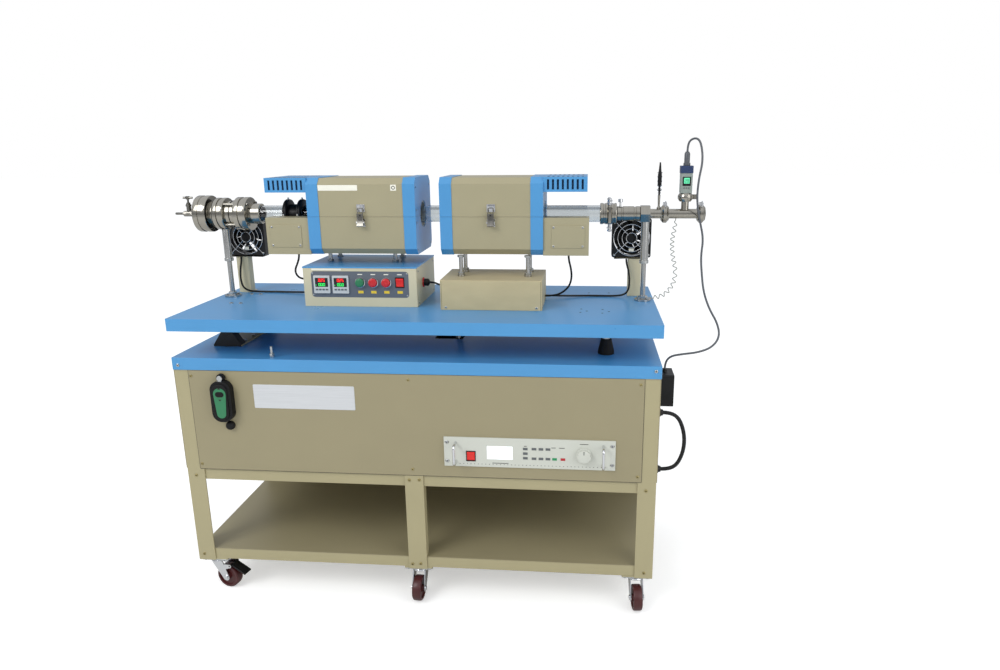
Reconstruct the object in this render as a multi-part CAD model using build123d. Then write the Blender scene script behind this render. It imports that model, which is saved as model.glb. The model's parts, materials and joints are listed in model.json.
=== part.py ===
from build123d import *

import math
import os

# A two-zone split tube furnace on a tilting table, carried by a cabinet cart on six casters.
# Sizes in mm. X runs along the quartz tube towards its outlet, Y to the back and Z up.
# The origin is on the floor below the middle of the cart.

# ---- Cart frame and its sheet panels
SHEET = 2.0
TOP_LENGTH = 1380.0
TOP_DEPTH = 550.0
TOP_SKIRT = 36.0
TOP_CORNER = 3.0
LOWER_TOP_Z = 751.0
SKIRT_GAP = 1.0
CASTER_HEIGHT = 105.0
LEG_WIDTH = 52.0
LEG_WALL = 4.0
POST_X = -4.0
POST_WIDTH = 55.0
POST_DEPTH = 30.0
POST_WALL = 3.0
FOOT_LENGTH = 84.0
FOOT_WIDTH = 66.0
FOOT_PLATE = 5.0
RAIL_DEPTH = 25.0
RAIL_WALL = 2.5
BOTTOM_RAIL = 37.0
MID_RAIL_Z = 374.0
MID_RAIL = 60.0
TOP_RAIL = 49.0
PANEL_LAP = 24.0
PANEL_LEG_LAP = 10.0
LOUVRE_LENGTH = 90.0
LOUVRE_WIDTH = 6.0
LOUVRE_PITCH = 18.0
LOUVRE_ROWS = 6

# ---- Casters
CASTER_PLATE = 3.5
RACE_HEIGHT = 6.5
RACE_RADIUS = 24.0
KINGPIN_RADIUS = 5.0
WHEEL_RADIUS = 37.5
WHEEL_WIDTH = 26.0
HUB_WIDTH = 32.0
AXLE_RADIUS = 4.0
TRAIL = 30.0
PEDAL_PIVOT = (46.0, 78.0)
FORK_WALL = 3.0
FORK_TOP_DROP = 3.0
SIDE_GAP = 0.4
TURN_GAP = 0.3
RUNNING_GAP = 0.06

# ---- Radio-frequency generator behind the front panel
GENERATOR_X = 330.0
GENERATOR_FOOT = 11.5
GENERATOR_WIDTH = 440.0
GENERATOR_HEIGHT = 84.0
GENERATOR_DEPTH = 330.0
RACK_WIDTH = 482.6
RACK_HEIGHT = 88.1
RACK_PLATE = 4.0
RACK_SLOT_X = 232.55
RACK_SLOT_Z = 28.5
BOW_X = 207.5
BOW_HEIGHT = 64.0
BOW_REACH = 34.0
BOW_RADIUS = 4.0
SCREEN_X = -82.5
SCREEN_WIDTH = 72.0
SCREEN_HEIGHT = 39.0
KNOB_X = 154.0
KNOB_RADIUS = 22.0
KNOB_HEIGHT = 17.0
KEY_WIDTH = 13.0
KEY_HEIGHT = 7.0
KEY_PROUD = 0.8
GENERATOR_ROCKER_X = -164.7
GENERATOR_ROCKER_Z = -12.0

# ---- Rockers and push buttons
ROCKER_TILT = 9.0
ROCKER_WALL = 2.0
BUTTON_RADIUS = 13.0
BUTTON_BEZEL = 15.0
BUTTON_PROUD = 7.0
BUTTON_TRAVEL = 3.0

# ---- Hand pendant on the front panel
PENDANT_INSET = 145.0
PENDANT_X = PENDANT_INSET - TOP_LENGTH / 2
PENDANT_Z = 628.0
PENDANT_WIDTH = 60.0
PENDANT_HEIGHT = 122.0
PENDANT_DEPTH = 26.0
PENDANT_RIM = 8.0
PENDANT_KEY_Z = 24.0
PENDANT_KEY_LENGTH = 25.0
PENDANT_KEY_WIDTH = 16.0
BOOT_X = PENDANT_X + 11
BOOT_Z = 551.0
BOOT_RADIUS = 13.0

# ---- Fittings on the right side of the cabinet
ADAPTER_REACH = 48.0
ADAPTER_WIDTH = 80.0
ADAPTER_HEIGHT = 94.0
ADAPTER_Y = -125.0
ADAPTER_Z = 644.0
SOCKET_Y = -40.0
SOCKET_Z = 470.0
SOCKET_WIDTH = 50.0
SOCKET_HEIGHT = 60.0
SOCKET_REACH = 9.0
GLAND_Y = -235.0
GLAND_TOP_Z = 606.0
GLAND_LOW_Z = 436.0
GLAND_RADIUS = 10.0
GLAND_REACH = 12.0

# ---- Tilting table and what carries it
TABLE_GAP = 78.5
TABLE_SHIFT_Y = -6.0
TILT_LIMIT = 15.0
HINGE_INSET = 106.0
HINGE_X = HINGE_INSET - TOP_LENGTH / 2
HINGE_BLOCK = 86.0
HINGE_LUG_Y = 120.0
HINGE_LUG = 30.0
HINGE_PIN = 8.0
HINGE_BOSS = 17.0
HINGE_PLATE = 5.0
FOOT_INSET = 148.0
FOOT_X = TOP_LENGTH / 2 - FOOT_INSET
FOOT_Y = 153.0
FOOT_BASE = 23.0
FOOT_TOP = 15.0
FOOT_RUBBER = 44.0
FOOT_STUD = 6.0
SEAT_GAP = 0.3
BEAM_WIDTH = 50.0
BEAM_WALL = 3.0
ACTUATOR_FOOT_X = 14.0
ACTUATOR_FOOT_RISE = 28.0
ACTUATOR_TOP_X = 107.0
ACTUATOR_TOP_DROP = 26.0
ACTUATOR_PIN = 6.0
ACTUATOR_TUBE = 22.0
ACTUATOR_TUBE_LENGTH = 285.0
ACTUATOR_ROD = 10.0
ACTUATOR_EYE = 15.0
ACTUATOR_EYE_WIDTH = 18.0
ACTUATOR_PLAY = 1.5
ACTUATOR_BAR = 410.0
CLEVIS_WALL = 8.0
STUD_X = -402.0
STUD_Y = -251.0
STUD_HEIGHT = 32.0
STUD_RADIUS = 4.0

# ---- Control box below the left furnace
BOX_LEFT = -355.0
BOX_RIGHT = -12.0
BOX_FRONT = -95.0
BOX_BACK = 155.0
BOX_HEIGHT = 115.5
BOX_TOP_PLATE = 4.0
PANEL_WIDTH = 294.0
PANEL_HEIGHT = 78.0
PANEL_ROUND = 10.0
PANEL_THICK = 3.0
PANEL_RISE = 67.0
CONTROLLER_WIDTH = 49.0
CONTROLLER_HEIGHT = 53.0
CONTROLLER_DEPTH = 80.0
CONTROLLER_PROUD = 5.0
CONTROLLER_X = (-114.5, -57.5)
BUTTON_X = (1.7, 41.0, 80.3)
BUTTON_RISE = 6.5
SWITCH_X = 120.5
SWITCH_WIDTH = 27.0
SWITCH_HEIGHT = 31.0
LINK_Y = -10.0
LINK_RISE = 60.0

# ---- Pedestal below the right furnace
PEDESTAL_LEFT = 62.0
PEDESTAL_RIGHT = 358.0
PEDESTAL_FRONT = -125.0
PEDESTAL_BACK = 75.0
PEDESTAL_HEIGHT = 87.5
PEDESTAL_FOLD = 8.0
POST_RADIUS = 6.0
LEFT_POSTS = ((-308.0, 20.0), (-103.0, 20.0), (-308.0, 110.0), (-103.0, 110.0))
RIGHT_POSTS = ((114.0, -54.0), (312.0, -54.0), (114.0, 27.0), (312.0, 27.0))

# ---- Split furnaces
TUBE_Y = 40.0
TUBE_RISE = 262.5
TUBE_RADIUS = 25.0
TUBE_WALL = 2.5
TUBE_LEFT = -640.0
TUBE_RIGHT = 560.0
FURNACE_DEPTH = 212.0
FURNACE_HEIGHT = 224.0
FURNACE_CHAMFER = 18.0
LEFT_FURNACE = (-338.0, -14.0)
RIGHT_FURNACE = (57.0, 357.0)
SPLIT_GAP = 0.5
CAP_WIDTH = 36.0
CAP_WALL = 1.5
CAP_END = 2.0
CASE_WALL = 2.0
END_HOLE = 40.0
CHAMBER_RADIUS = 36.0
LID_HINGE_OUT = 9.0
LID_HINGE_BOSS = 6.0
LID_HINGE_PIN = 3.0
LID_HINGE_INSET = 70.0
LID_HINGE_WIDTH = 24.0
LID_LIMIT = 85.0
VENT_REACH = 126.0
VENT_HEIGHT = 42.0
VENT_DEPTH = 190.0
VENT_WALL = 1.5
VENT_SLOT = 6.0
VENT_PITCH = 14.0
VENT_SLOTS = 8
TERMINAL_REACH = 132.0
TERMINAL_FRONT = -60.0
TERMINAL_DEPTH = 53.0
TERMINAL_TOP_DROP = 3.0
TERMINAL_COVER = (96.0, 66.0)
COVER_THICK = 1.5
LATCH_WIDTH = 24.0
LATCH_DROP = 16.0
LATCH_OUT = 8.0
LATCH_PIN = 2.0
LATCH_REACH = 42.0
LATCH_WIRE = 1.5

# ---- Radio-frequency electrode and vacuum seals
ELECTRODE_X = (-436.0, -392.0)
COLLAR_WIDTH = 14.0
COLLAR_RADIUS = 44.0
BAND_RADIUS = 29.0
SEAL_GAP = 0.4
PORT_RADIUS = 4.0
BOLT_CIRCLE = 43.5
BOLT_RADIUS = 3.5
VALVE_X = -760.0
STUB_END = -805.0
VALVE_STEM_RISE = 44.0
LINE_RADIUS = 14.2
LINE_BORE = 12.5
LINE_END = 829.0
GAUGE_X = 769.0
SUPPORT_LEFT_X = -647.0
SUPPORT_RIGHT_X = 655.0
SUPPORT_ROD = 7.5
SUPPORT_SLEEVE = 12.0
SUPPORT_SLEEVE_RISE = 122.0
SUPPORT_FLANGE = 25.0
FLANGE_THICK = 6.0

# ---- Cooling fans
FAN_X = (-613.0, 620.0)
FAN_POST_X = (-636.0, 632.0)
FAN_SIZE = 120.0
FAN_DEPTH = 38.0
FAN_FRONT_Y = 101.0
FAN_RISE = 122.5
FAN_BORE = 56.0
FAN_HUB = 20.0
FAN_BLADES = 7
FAN_PLATE = 4.0
FAN_POST_WIDTH = 40.0
FAN_POST_DEPTH = 30.0
GUARD_WIRE = 2.2
GUARD_RINGS = (16.0, 29.0, 42.0, 55.0)

# ---- Cables
CABLE_RADIUS = 3.0
LOOP_RADIUS = 5.5
CURL_RADIUS = 7.0

# ---- Places that follow from the sizes above
FRAME_X = TOP_LENGTH / 2 - SHEET - SKIRT_GAP
FRAME_Y = TOP_DEPTH / 2 - SHEET - SKIRT_GAP
FRAME_TOP = LOWER_TOP_Z - SHEET
CABINET_FLOOR_Z = MID_RAIL_Z + MID_RAIL + SHEET
PANEL_BOTTOM = MID_RAIL_Z + MID_RAIL - PANEL_LAP
PANEL_TOP = LOWER_TOP_Z - TOP_SKIRT - SKIRT_GAP
PANEL_FRONT = -FRAME_Y - SHEET
SIDE_X = FRAME_X + SHEET
GENERATOR_Z = CABINET_FLOOR_Z + GENERATOR_FOOT + GENERATOR_HEIGHT / 2
RACK_FRONT = PANEL_FRONT - RACK_PLATE
TABLE_UNDER = LOWER_TOP_Z + TABLE_GAP
TABLE_Z = TABLE_UNDER + TOP_SKIRT
HINGE_Z = LOWER_TOP_Z + TABLE_GAP / 2
ACTUATOR_FOOT_Z = CABINET_FLOOR_Z + ACTUATOR_FOOT_RISE
ACTUATOR_TOP_Z = TABLE_UNDER - ACTUATOR_TOP_DROP
ACTUATOR_RUN = math.hypot(ACTUATOR_TOP_X - ACTUATOR_FOOT_X, ACTUATOR_TOP_Z - ACTUATOR_FOOT_Z)
ACTUATOR_LEAN = math.degrees(
    math.atan2(ACTUATOR_TOP_X - ACTUATOR_FOOT_X, ACTUATOR_TOP_Z - ACTUATOR_FOOT_Z)
)
BOX_TOP = TABLE_Z + BOX_HEIGHT
PLATE_TOP = BOX_TOP + BOX_TOP_PLATE
BOX_MIDDLE = (BOX_LEFT + BOX_RIGHT) / 2
PANEL_Z = TABLE_Z + PANEL_RISE
PEDESTAL_TOP = TABLE_Z + PEDESTAL_HEIGHT
TUBE_Z = TABLE_Z + TUBE_RISE
FURNACE_BOTTOM = TUBE_Z - FURNACE_HEIGHT / 2
FURNACE_TOP = TUBE_Z + FURNACE_HEIGHT / 2
FURNACE_FRONT = TUBE_Y - FURNACE_DEPTH / 2
FURNACE_REAR = TUBE_Y + FURNACE_DEPTH / 2
WRAP_FRONT = FURNACE_FRONT + CAP_WALL
WRAP_REAR = FURNACE_REAR - CAP_WALL
LID_HINGE_Y = FURNACE_REAR + LID_HINGE_OUT
LATCH_Y = FURNACE_FRONT - LATCH_OUT
LATCH_Z = TUBE_Z - LATCH_DROP
FAN_Z = TABLE_Z + FAN_RISE + FAN_SIZE / 2


def prism(profile, axis, low, high):
    """Profile carried straight along an axis; it is drawn in YZ, XZ or XY, across that axis."""
    if axis == "X":
        return Pos(low, 0, 0) * extrude(Plane.YZ * profile, high - low)
    if axis == "Y":
        return Pos(0, high, 0) * extrude(Plane.XZ * profile, high - low)
    return Pos(0, 0, low) * extrude(profile, high - low)


def block(x, y, z):
    """Box between two corners, given as (low, high) along each axis."""
    middle = Pos((x[0] + x[1]) / 2, (y[0] + y[1]) / 2, (z[0] + z[1]) / 2)
    return middle * Box(x[1] - x[0], y[1] - y[0], z[1] - z[0])


def rod(axis, across, radius, low, high):
    """Cylinder along an axis, through the point across, given in the other two axes' order."""
    return prism(Pos(*across) * Circle(radius), axis, low, high)


def pipe(axis, across, radius, bore, low, high):
    """Cylinder along an axis with a bore right through it."""
    return prism(Pos(*across) * (Circle(radius) - Circle(bore)), axis, low, high)


def turned(axis, across, outline):
    """Solid turned about an axis through across; outline lists (radius, place along the axis)."""
    solid = revolve(make_face(Plane.XZ * Polyline(*outline, close=True)), Axis.Z)
    if axis == "X":
        return Pos(0, *across) * Rot(0, 90, 0) * solid
    if axis == "Y":
        return Pos(across[0], 0, across[1]) * Rot(-90, 0, 0) * solid
    return Pos(*across, 0) * solid


def fuse(*pieces):
    """One solid from pieces that touch or cross."""
    whole = pieces[0]
    for piece in pieces[1:]:
        whole = whole + piece
    return whole


def group(*pieces):
    """Separate solids kept in one node."""
    return Compound(children=[solid for piece in pieces for solid in piece.solids()])


def tray(x, y, z, wall, corner):
    """Folded sheet top with a skirt, open below."""
    outer = block(x, y, z)
    outer = fillet(outer.edges().filter_by(Axis.Z), corner)
    inner = block((x[0] + wall, x[1] - wall), (y[0] + wall, y[1] - wall), (z[0] - wall, z[1] - wall))
    return outer - inner


def upright_capsule(x, z, width, height):
    """Rounded upright outline in XZ, with its ends struck to the full width."""
    return Pos(x, z) * RectangleRounded(width, height, width * 0.45)


# ---------------------------------------------------------------- cart


def corner_leg():
    """Folded angle for the right rear corner, with its foot plate welded in the angle."""
    outer = Pos(FRAME_X - LEG_WIDTH / 2, FRAME_Y - LEG_WIDTH / 2) * Rectangle(LEG_WIDTH, LEG_WIDTH)
    inner = Pos(-LEG_WALL, -LEG_WALL) * outer
    angle = prism(outer - inner, "Z", CASTER_HEIGHT, FRAME_TOP)
    foot_x = (FRAME_X - LEG_WALL - FOOT_LENGTH, FRAME_X - LEG_WALL)
    foot_y = (FRAME_Y - LEG_WALL - FOOT_WIDTH, FRAME_Y - LEG_WALL)
    return fuse(angle, block(foot_x, foot_y, (CASTER_HEIGHT, CASTER_HEIGHT + FOOT_PLATE)))


def middle_post():
    """Rear middle post: a channel open to the inside, with its foot plate."""
    outer = Pos(POST_X, FRAME_Y - POST_DEPTH / 2) * Rectangle(POST_WIDTH, POST_DEPTH)
    inner = Pos(POST_X, FRAME_Y - POST_WALL - POST_DEPTH / 2) * Rectangle(
        POST_WIDTH - 2 * POST_WALL, POST_DEPTH
    )
    channel = prism(outer - inner, "Z", CASTER_HEIGHT, FRAME_TOP)
    foot_x = (POST_X - FOOT_LENGTH / 2, POST_X + FOOT_LENGTH / 2)
    foot_y = (FRAME_Y - POST_WALL - FOOT_WIDTH, FRAME_Y - POST_WALL)
    return fuse(channel, block(foot_x, foot_y, (CASTER_HEIGHT, CASTER_HEIGHT + FOOT_PLATE)))


def rail(x, y, z):
    """Rectangular tube along X between two corners."""
    middle = Pos((y[0] + y[1]) / 2, (z[0] + z[1]) / 2)
    depth, height = y[1] - y[0], z[1] - z[0]
    hollow = Rectangle(depth - 2 * RAIL_WALL, height - 2 * RAIL_WALL)
    return prism(middle * (Rectangle(depth, height) - hollow), "X", *x)


def cross_rail(x, y, z):
    """Rectangular tube along Y between two corners."""
    middle = Pos((x[0] + x[1]) / 2, (z[0] + z[1]) / 2)
    depth, height = x[1] - x[0], z[1] - z[0]
    hollow = Rectangle(depth - 2 * RAIL_WALL, height - 2 * RAIL_WALL)
    return prism(middle * (Rectangle(depth, height) - hollow), "Y", *y)


RAIL_LEVELS = (
    (CASTER_HEIGHT + FOOT_PLATE, CASTER_HEIGHT + BOTTOM_RAIL),
    (MID_RAIL_Z, MID_RAIL_Z + MID_RAIL),
    (FRAME_TOP - TOP_RAIL, FRAME_TOP),
)


def cart_frame():
    """Six legs and three levels of rails."""
    legs = [corner_leg(), middle_post()]
    legs.append(mirror(legs[0], about=Plane.YZ))
    legs += [mirror(leg, about=Plane.XZ) for leg in legs]
    reach = FRAME_X - LEG_WALL
    back = (FRAME_Y - LEG_WALL - RAIL_DEPTH, FRAME_Y - LEG_WALL)
    rails = []
    for level in RAIL_LEVELS:
        rears = [
            rail((-reach, POST_X - POST_WIDTH / 2), back, level),
            rail((POST_X + POST_WIDTH / 2, reach), back, level),
        ]
        rails += rears + [mirror(piece, about=Plane.XZ) for piece in rears]
        side = cross_rail((reach - RAIL_DEPTH, reach), (-back[0], back[0]), level)
        middle_reach = FRAME_Y - POST_DEPTH
        middle_x = (POST_X - RAIL_DEPTH / 2, POST_X + RAIL_DEPTH / 2)
        middle = cross_rail(middle_x, (-middle_reach, middle_reach), level)
        rails += [side, mirror(side, about=Plane.YZ), middle]
    return group(*legs, *rails)


def deck(z):
    """Sheet laid on one level of rails, notched round the middle posts."""
    reach = FRAME_X - LEG_WALL
    inner = FRAME_Y - LEG_WALL
    plate = block((-reach, reach), (-inner, inner), (z, z + SHEET))
    notch_x = (POST_X - POST_WIDTH / 2, POST_X + POST_WIDTH / 2)
    notch = block(notch_x, (FRAME_Y - POST_DEPTH, FRAME_Y), (z, z + SHEET))
    return plate - notch - mirror(notch, about=Plane.XZ)


def louvres():
    """Rows of slots in the rear sheet, behind the generator."""
    rows = GridLocations(LOUVRE_LENGTH + LOUVRE_PITCH, LOUVRE_PITCH, 2, LOUVRE_ROWS)
    slot = Rectangle(LOUVRE_LENGTH, LOUVRE_WIDTH)
    slots = Pos(GENERATOR_X, (PANEL_BOTTOM + PANEL_TOP) / 2) * rows * slot
    return prism(Sketch() + slots, "Y", FRAME_Y, FRAME_Y + SHEET)


def body_panels():
    """Shelf, cabinet floor, rear sheet and the two side sheets."""
    shelf = deck(CASTER_HEIGHT + BOTTOM_RAIL)
    floor = deck(MID_RAIL_Z + MID_RAIL)
    rear_z = (CASTER_HEIGHT + FOOT_PLATE, PANEL_TOP)
    rear = block((-FRAME_X, FRAME_X), (FRAME_Y, FRAME_Y + SHEET), rear_z) - louvres()
    side = block((FRAME_X, SIDE_X), (-FRAME_Y, FRAME_Y), (PANEL_BOTTOM, PANEL_TOP))
    return group(shelf, floor, rear, side, mirror(side, about=Plane.YZ))


def front_panel():
    """Screwed-on front sheet with the window for the generator."""
    reach = FRAME_X - LEG_WIDTH + PANEL_LEG_LAP
    sheet = block((-reach, reach), (PANEL_FRONT, -FRAME_Y), (PANEL_BOTTOM, PANEL_TOP))
    window = Pos(GENERATOR_X, GENERATOR_Z) * Rectangle(GENERATOR_WIDTH + 6, GENERATOR_HEIGHT + 2)
    return sheet - prism(window, "Y", PANEL_FRONT, -FRAME_Y)


def lower_top():
    """Fixed folded top of the cabinet, slotted for the actuator."""
    reach = TOP_LENGTH / 2
    half = TOP_DEPTH / 2
    top = tray((-reach, reach), (-half, half), (LOWER_TOP_Z - TOP_SKIRT, LOWER_TOP_Z), SHEET,
               TOP_CORNER)
    slot_x = (ACTUATOR_FOOT_X + 4, ACTUATOR_TOP_X)
    slot_y = (-ACTUATOR_TUBE, ACTUATOR_TUBE)
    return top - block(slot_x, slot_y, (LOWER_TOP_Z - SHEET, LOWER_TOP_Z))


# ---------------------------------------------------------------- generator


def generator_window():
    """Rectangle of the display on the rack plate."""
    return Pos(GENERATOR_X + SCREEN_X, GENERATOR_Z) * Rectangle(SCREEN_WIDTH, SCREEN_HEIGHT)


def bow_handle(x):
    """Bent rod handle screwed to the rack plate."""
    half = BOW_HEIGHT / 2 - BOW_RADIUS
    path = Plane.YZ * FilletPolyline(
        (RACK_FRONT, -half), (RACK_FRONT - BOW_REACH, -half), (RACK_FRONT - BOW_REACH, half),
        (RACK_FRONT, half),
        radius=2.5 * BOW_RADIUS,
    )
    start = Plane(origin=path @ 0, z_dir=path % 0)
    return Pos(x, 0, GENERATOR_Z) * sweep(start * Circle(BOW_RADIUS), path)


def rack_slots():
    """Four open slots for the rack screws."""
    slots = GridLocations(2 * RACK_SLOT_X, 2 * RACK_SLOT_Z, 2, 2) * SlotOverall(12, 7)
    return Pos(GENERATOR_X, GENERATOR_Z) * (Sketch() + slots)


def membrane_keys():
    """Key pads: a column of three, two rows of three and two at the end of the lower row."""
    column = [(-10.0, 14.0), (-10.0, 0.0), (-10.0, -14.0)]
    rows = [(14.3 + 19.6 * i, z) for i in range(3) for z in (14.3, -14.7)]
    last = [(72.0, -14.7), (95.5, -14.7)]
    pads = Sketch() + [
        Pos(GENERATOR_X + x, GENERATOR_Z + z) * Rectangle(KEY_WIDTH, KEY_HEIGHT)
        for x, z in column + rows + last
    ]
    return prism(pads, "Y", RACK_FRONT - KEY_PROUD, RACK_FRONT)


def rocker_place(x, z, plate_front):
    """Pivot of a rocker set into a plate."""
    return x, plate_front + 3.0, z


def rocker(pivot, width, height):
    """Rocker paddle: a shallow V in side view on a pin, shown pressed at its lower end."""
    half = height / 2 - ROCKER_WALL - SIDE_GAP
    side = make_face(
        Polyline((7, -4), (7, 4), (-2, half), (-6, half - 2), (-4, 0), (-6, 2 - half), (-2, -half),
                 close=True)
    )
    reach = width / 2 - ROCKER_WALL - SIDE_GAP
    paddle = prism(side, "X", -reach, reach)
    pins = rod("X", (0, 0), 1.5, -reach - ROCKER_WALL, reach + ROCKER_WALL)
    return Pos(*pivot) * Rot(ROCKER_TILT, 0, 0) * fuse(paddle, pins)


def rocker_well(pivot, width, height, front):
    """Fixed housing of a rocker: a rim in front of its plate and four walls behind it."""
    outer = Pos(pivot[0], pivot[2]) * Rectangle(width, height)
    inner = Pos(pivot[0], pivot[2]) * Rectangle(width - 2 * ROCKER_WALL, height - 2 * ROCKER_WALL)
    well = prism(outer, "Y", front - 1.5, front + 16) - prism(inner, "Y", front - 1.5, front + 14)
    reach = width / 2 + 1
    return well - rod("X", (pivot[1], pivot[2]), 1.5 + RUNNING_GAP, pivot[0] - reach, pivot[0] + reach)


GENERATOR_ROCKER = rocker_place(GENERATOR_X + GENERATOR_ROCKER_X, GENERATOR_Z + GENERATOR_ROCKER_Z,
                                RACK_FRONT)
ROCKER_WIDTH = 27.0
ROCKER_HEIGHT = 31.0


def rf_generator():
    """Rack unit: chassis on rubber feet, front plate, bow handles, display, keys and switch well."""
    low_x, high_x = GENERATOR_X - GENERATOR_WIDTH / 2, GENERATOR_X + GENERATOR_WIDTH / 2
    low_z, high_z = GENERATOR_Z - GENERATOR_HEIGHT / 2, GENERATOR_Z + GENERATOR_HEIGHT / 2
    back = PANEL_FRONT + GENERATOR_DEPTH
    chassis = block((low_x, high_x), (PANEL_FRONT, back), (low_z, high_z))
    hollow = block((low_x + SHEET, high_x - SHEET), (PANEL_FRONT, back - SHEET),
                   (low_z + SHEET, high_z - SHEET))
    chassis = chassis - hollow - rod("Y", (GENERATOR_X, GENERATOR_Z), 30, back - SHEET, back)
    feet = [
        rod("Z", (x, y), 10, CABINET_FLOOR_Z, low_z)
        for x in (low_x + 40, high_x - 40)
        for y in (PANEL_FRONT + 50, back - 50)
    ]
    plate = Pos(GENERATOR_X, GENERATOR_Z) * Rectangle(RACK_WIDTH, RACK_HEIGHT) - rack_slots()
    plate = prism(plate, "Y", RACK_FRONT, PANEL_FRONT)
    plate -= prism(generator_window(), "Y", RACK_FRONT, RACK_FRONT + 2)
    plate -= rod("Y", (GENERATOR_X + KNOB_X, GENERATOR_Z), 3 + RUNNING_GAP, RACK_FRONT, PANEL_FRONT)
    pivot = GENERATOR_ROCKER
    switch_hole = Pos(pivot[0], pivot[2]) * Rectangle(ROCKER_WIDTH, ROCKER_HEIGHT)
    plate -= prism(switch_hole, "Y", RACK_FRONT, PANEL_FRONT)
    well = rocker_well(pivot, ROCKER_WIDTH, ROCKER_HEIGHT, RACK_FRONT)
    glass = prism(generator_window(), "Y", RACK_FRONT + 0.8, RACK_FRONT + 2)
    handles = [bow_handle(GENERATOR_X + x) for x in (-BOW_X, BOW_X)]
    return group(chassis, *feet, plate, well, glass, membrane_keys(), *handles)


def generator_knob():
    """Turned knob with finger scallops, on a shaft that runs in the rack plate."""
    nose = RACK_FRONT - SEAT_GAP - KNOB_HEIGHT
    base = RACK_FRONT - SEAT_GAP
    centre = (GENERATOR_X + KNOB_X, GENERATOR_Z)
    outline = [(0, nose), (KNOB_RADIUS - 4, nose), (KNOB_RADIUS - 2, nose + 2),
               (KNOB_RADIUS - 2, base - 5),
               (KNOB_RADIUS, base - 4), (KNOB_RADIUS, base), (0, base)]
    body = turned("Y", centre, outline)
    scallops = Pos(*centre) * (Sketch() + PolarLocations(KNOB_RADIUS + 1, 12) * Circle(4))
    body -= prism(scallops, "Y", nose - 1, base - 5)
    return fuse(body, rod("Y", centre, 3, base - 1, PANEL_FRONT))


# ---------------------------------------------------------------- pendant and side fittings


def pendant_case():
    """Hand control hung on the front panel: green case, black rim with an eye, hook and cord boot."""
    back = PANEL_FRONT
    front = back - PENDANT_DEPTH
    outer = upright_capsule(PENDANT_X, PENDANT_Z, PENDANT_WIDTH, PENDANT_HEIGHT)
    core = upright_capsule(
        PENDANT_X, PENDANT_Z, PENDANT_WIDTH - 2 * PENDANT_RIM, PENDANT_HEIGHT - 2 * PENDANT_RIM
    )
    rim = prism(outer - core, "Y", front + 4, back)
    eye_z = PENDANT_Z + PENDANT_HEIGHT / 2 + 7
    rim = fuse(rim, pipe("Y", (PENDANT_X, eye_z), 12, 5, back - 12, back - 4))
    case = prism(core, "Y", front, back)
    case = fillet(case.faces().sort_by(Axis.Y)[0].edges(), 3)
    key_z = PENDANT_Z + PENDANT_KEY_Z
    well = Pos(PENDANT_X, key_z) * SlotOverall(PENDANT_KEY_LENGTH, PENDANT_KEY_WIDTH)
    case -= prism(well, "Y", front - 1, front + 8)
    hook = fuse(
        rod("Y", (PENDANT_X, eye_z), 4.7, back - 16, back),
        rod("Y", (PENDANT_X, eye_z), 8, back - 18, back - 14),
    )
    boot = turned("Y", (BOOT_X, BOOT_Z), [(0, back - 16), (7, back - 15), (12, back - 10),
                                          (BOOT_RADIUS, back - 4),
                                          (BOOT_RADIUS, back), (0, back)])
    return group(rim, case, hook, boot)


def pendant_key():
    """Oval up-and-down key, proud of the pendant's face."""
    front = PANEL_FRONT - PENDANT_DEPTH
    outline = SlotOverall(PENDANT_KEY_LENGTH - 2 * SIDE_GAP, PENDANT_KEY_WIDTH - 2 * SIDE_GAP)
    return prism(Pos(PENDANT_X, PENDANT_Z + PENDANT_KEY_Z) * outline, "Y", front - 2.5, front + 5.5)


def side_fittings():
    """Adapter box with its cord bush, mains outlet and two cable glands on the right side sheet."""
    adapter = block(
        (SIDE_X, SIDE_X + ADAPTER_REACH),
        (ADAPTER_Y - ADAPTER_WIDTH / 2, ADAPTER_Y + ADAPTER_WIDTH / 2),
        (ADAPTER_Z - ADAPTER_HEIGHT / 2, ADAPTER_Z + ADAPTER_HEIGHT / 2),
    )
    adapter = fillet(adapter.edges().filter_by(Axis.X), 6)
    top = ADAPTER_Z + ADAPTER_HEIGHT / 2
    bush = turned("Z", (SIDE_X + ADAPTER_REACH / 2, ADAPTER_Y),
                  [(0, top), (7, top), (5, top + 8), (0, top + 8)])
    outlet = block(
        (SIDE_X, SIDE_X + SOCKET_REACH),
        (SOCKET_Y - SOCKET_WIDTH / 2, SOCKET_Y + SOCKET_WIDTH / 2),
        (SOCKET_Z - SOCKET_HEIGHT / 2, SOCKET_Z + SOCKET_HEIGHT / 2),
    )
    outlet -= rod("X", (SOCKET_Y, SOCKET_Z), 18, SIDE_X + 3, SIDE_X + SOCKET_REACH)
    glands = [
        turned("X", (GLAND_Y, z), [(0, SIDE_X), (GLAND_RADIUS + 2, SIDE_X),
                                   (GLAND_RADIUS + 2, SIDE_X + 5),
                                   (GLAND_RADIUS, SIDE_X + 5), (8, SIDE_X + GLAND_REACH),
                                   (0, SIDE_X + GLAND_REACH)])
        for z in (GLAND_TOP_Z, GLAND_LOW_Z)
    ]
    return group(fuse(adapter, bush), outlet, *glands)


# ---------------------------------------------------------------- casters


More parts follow.
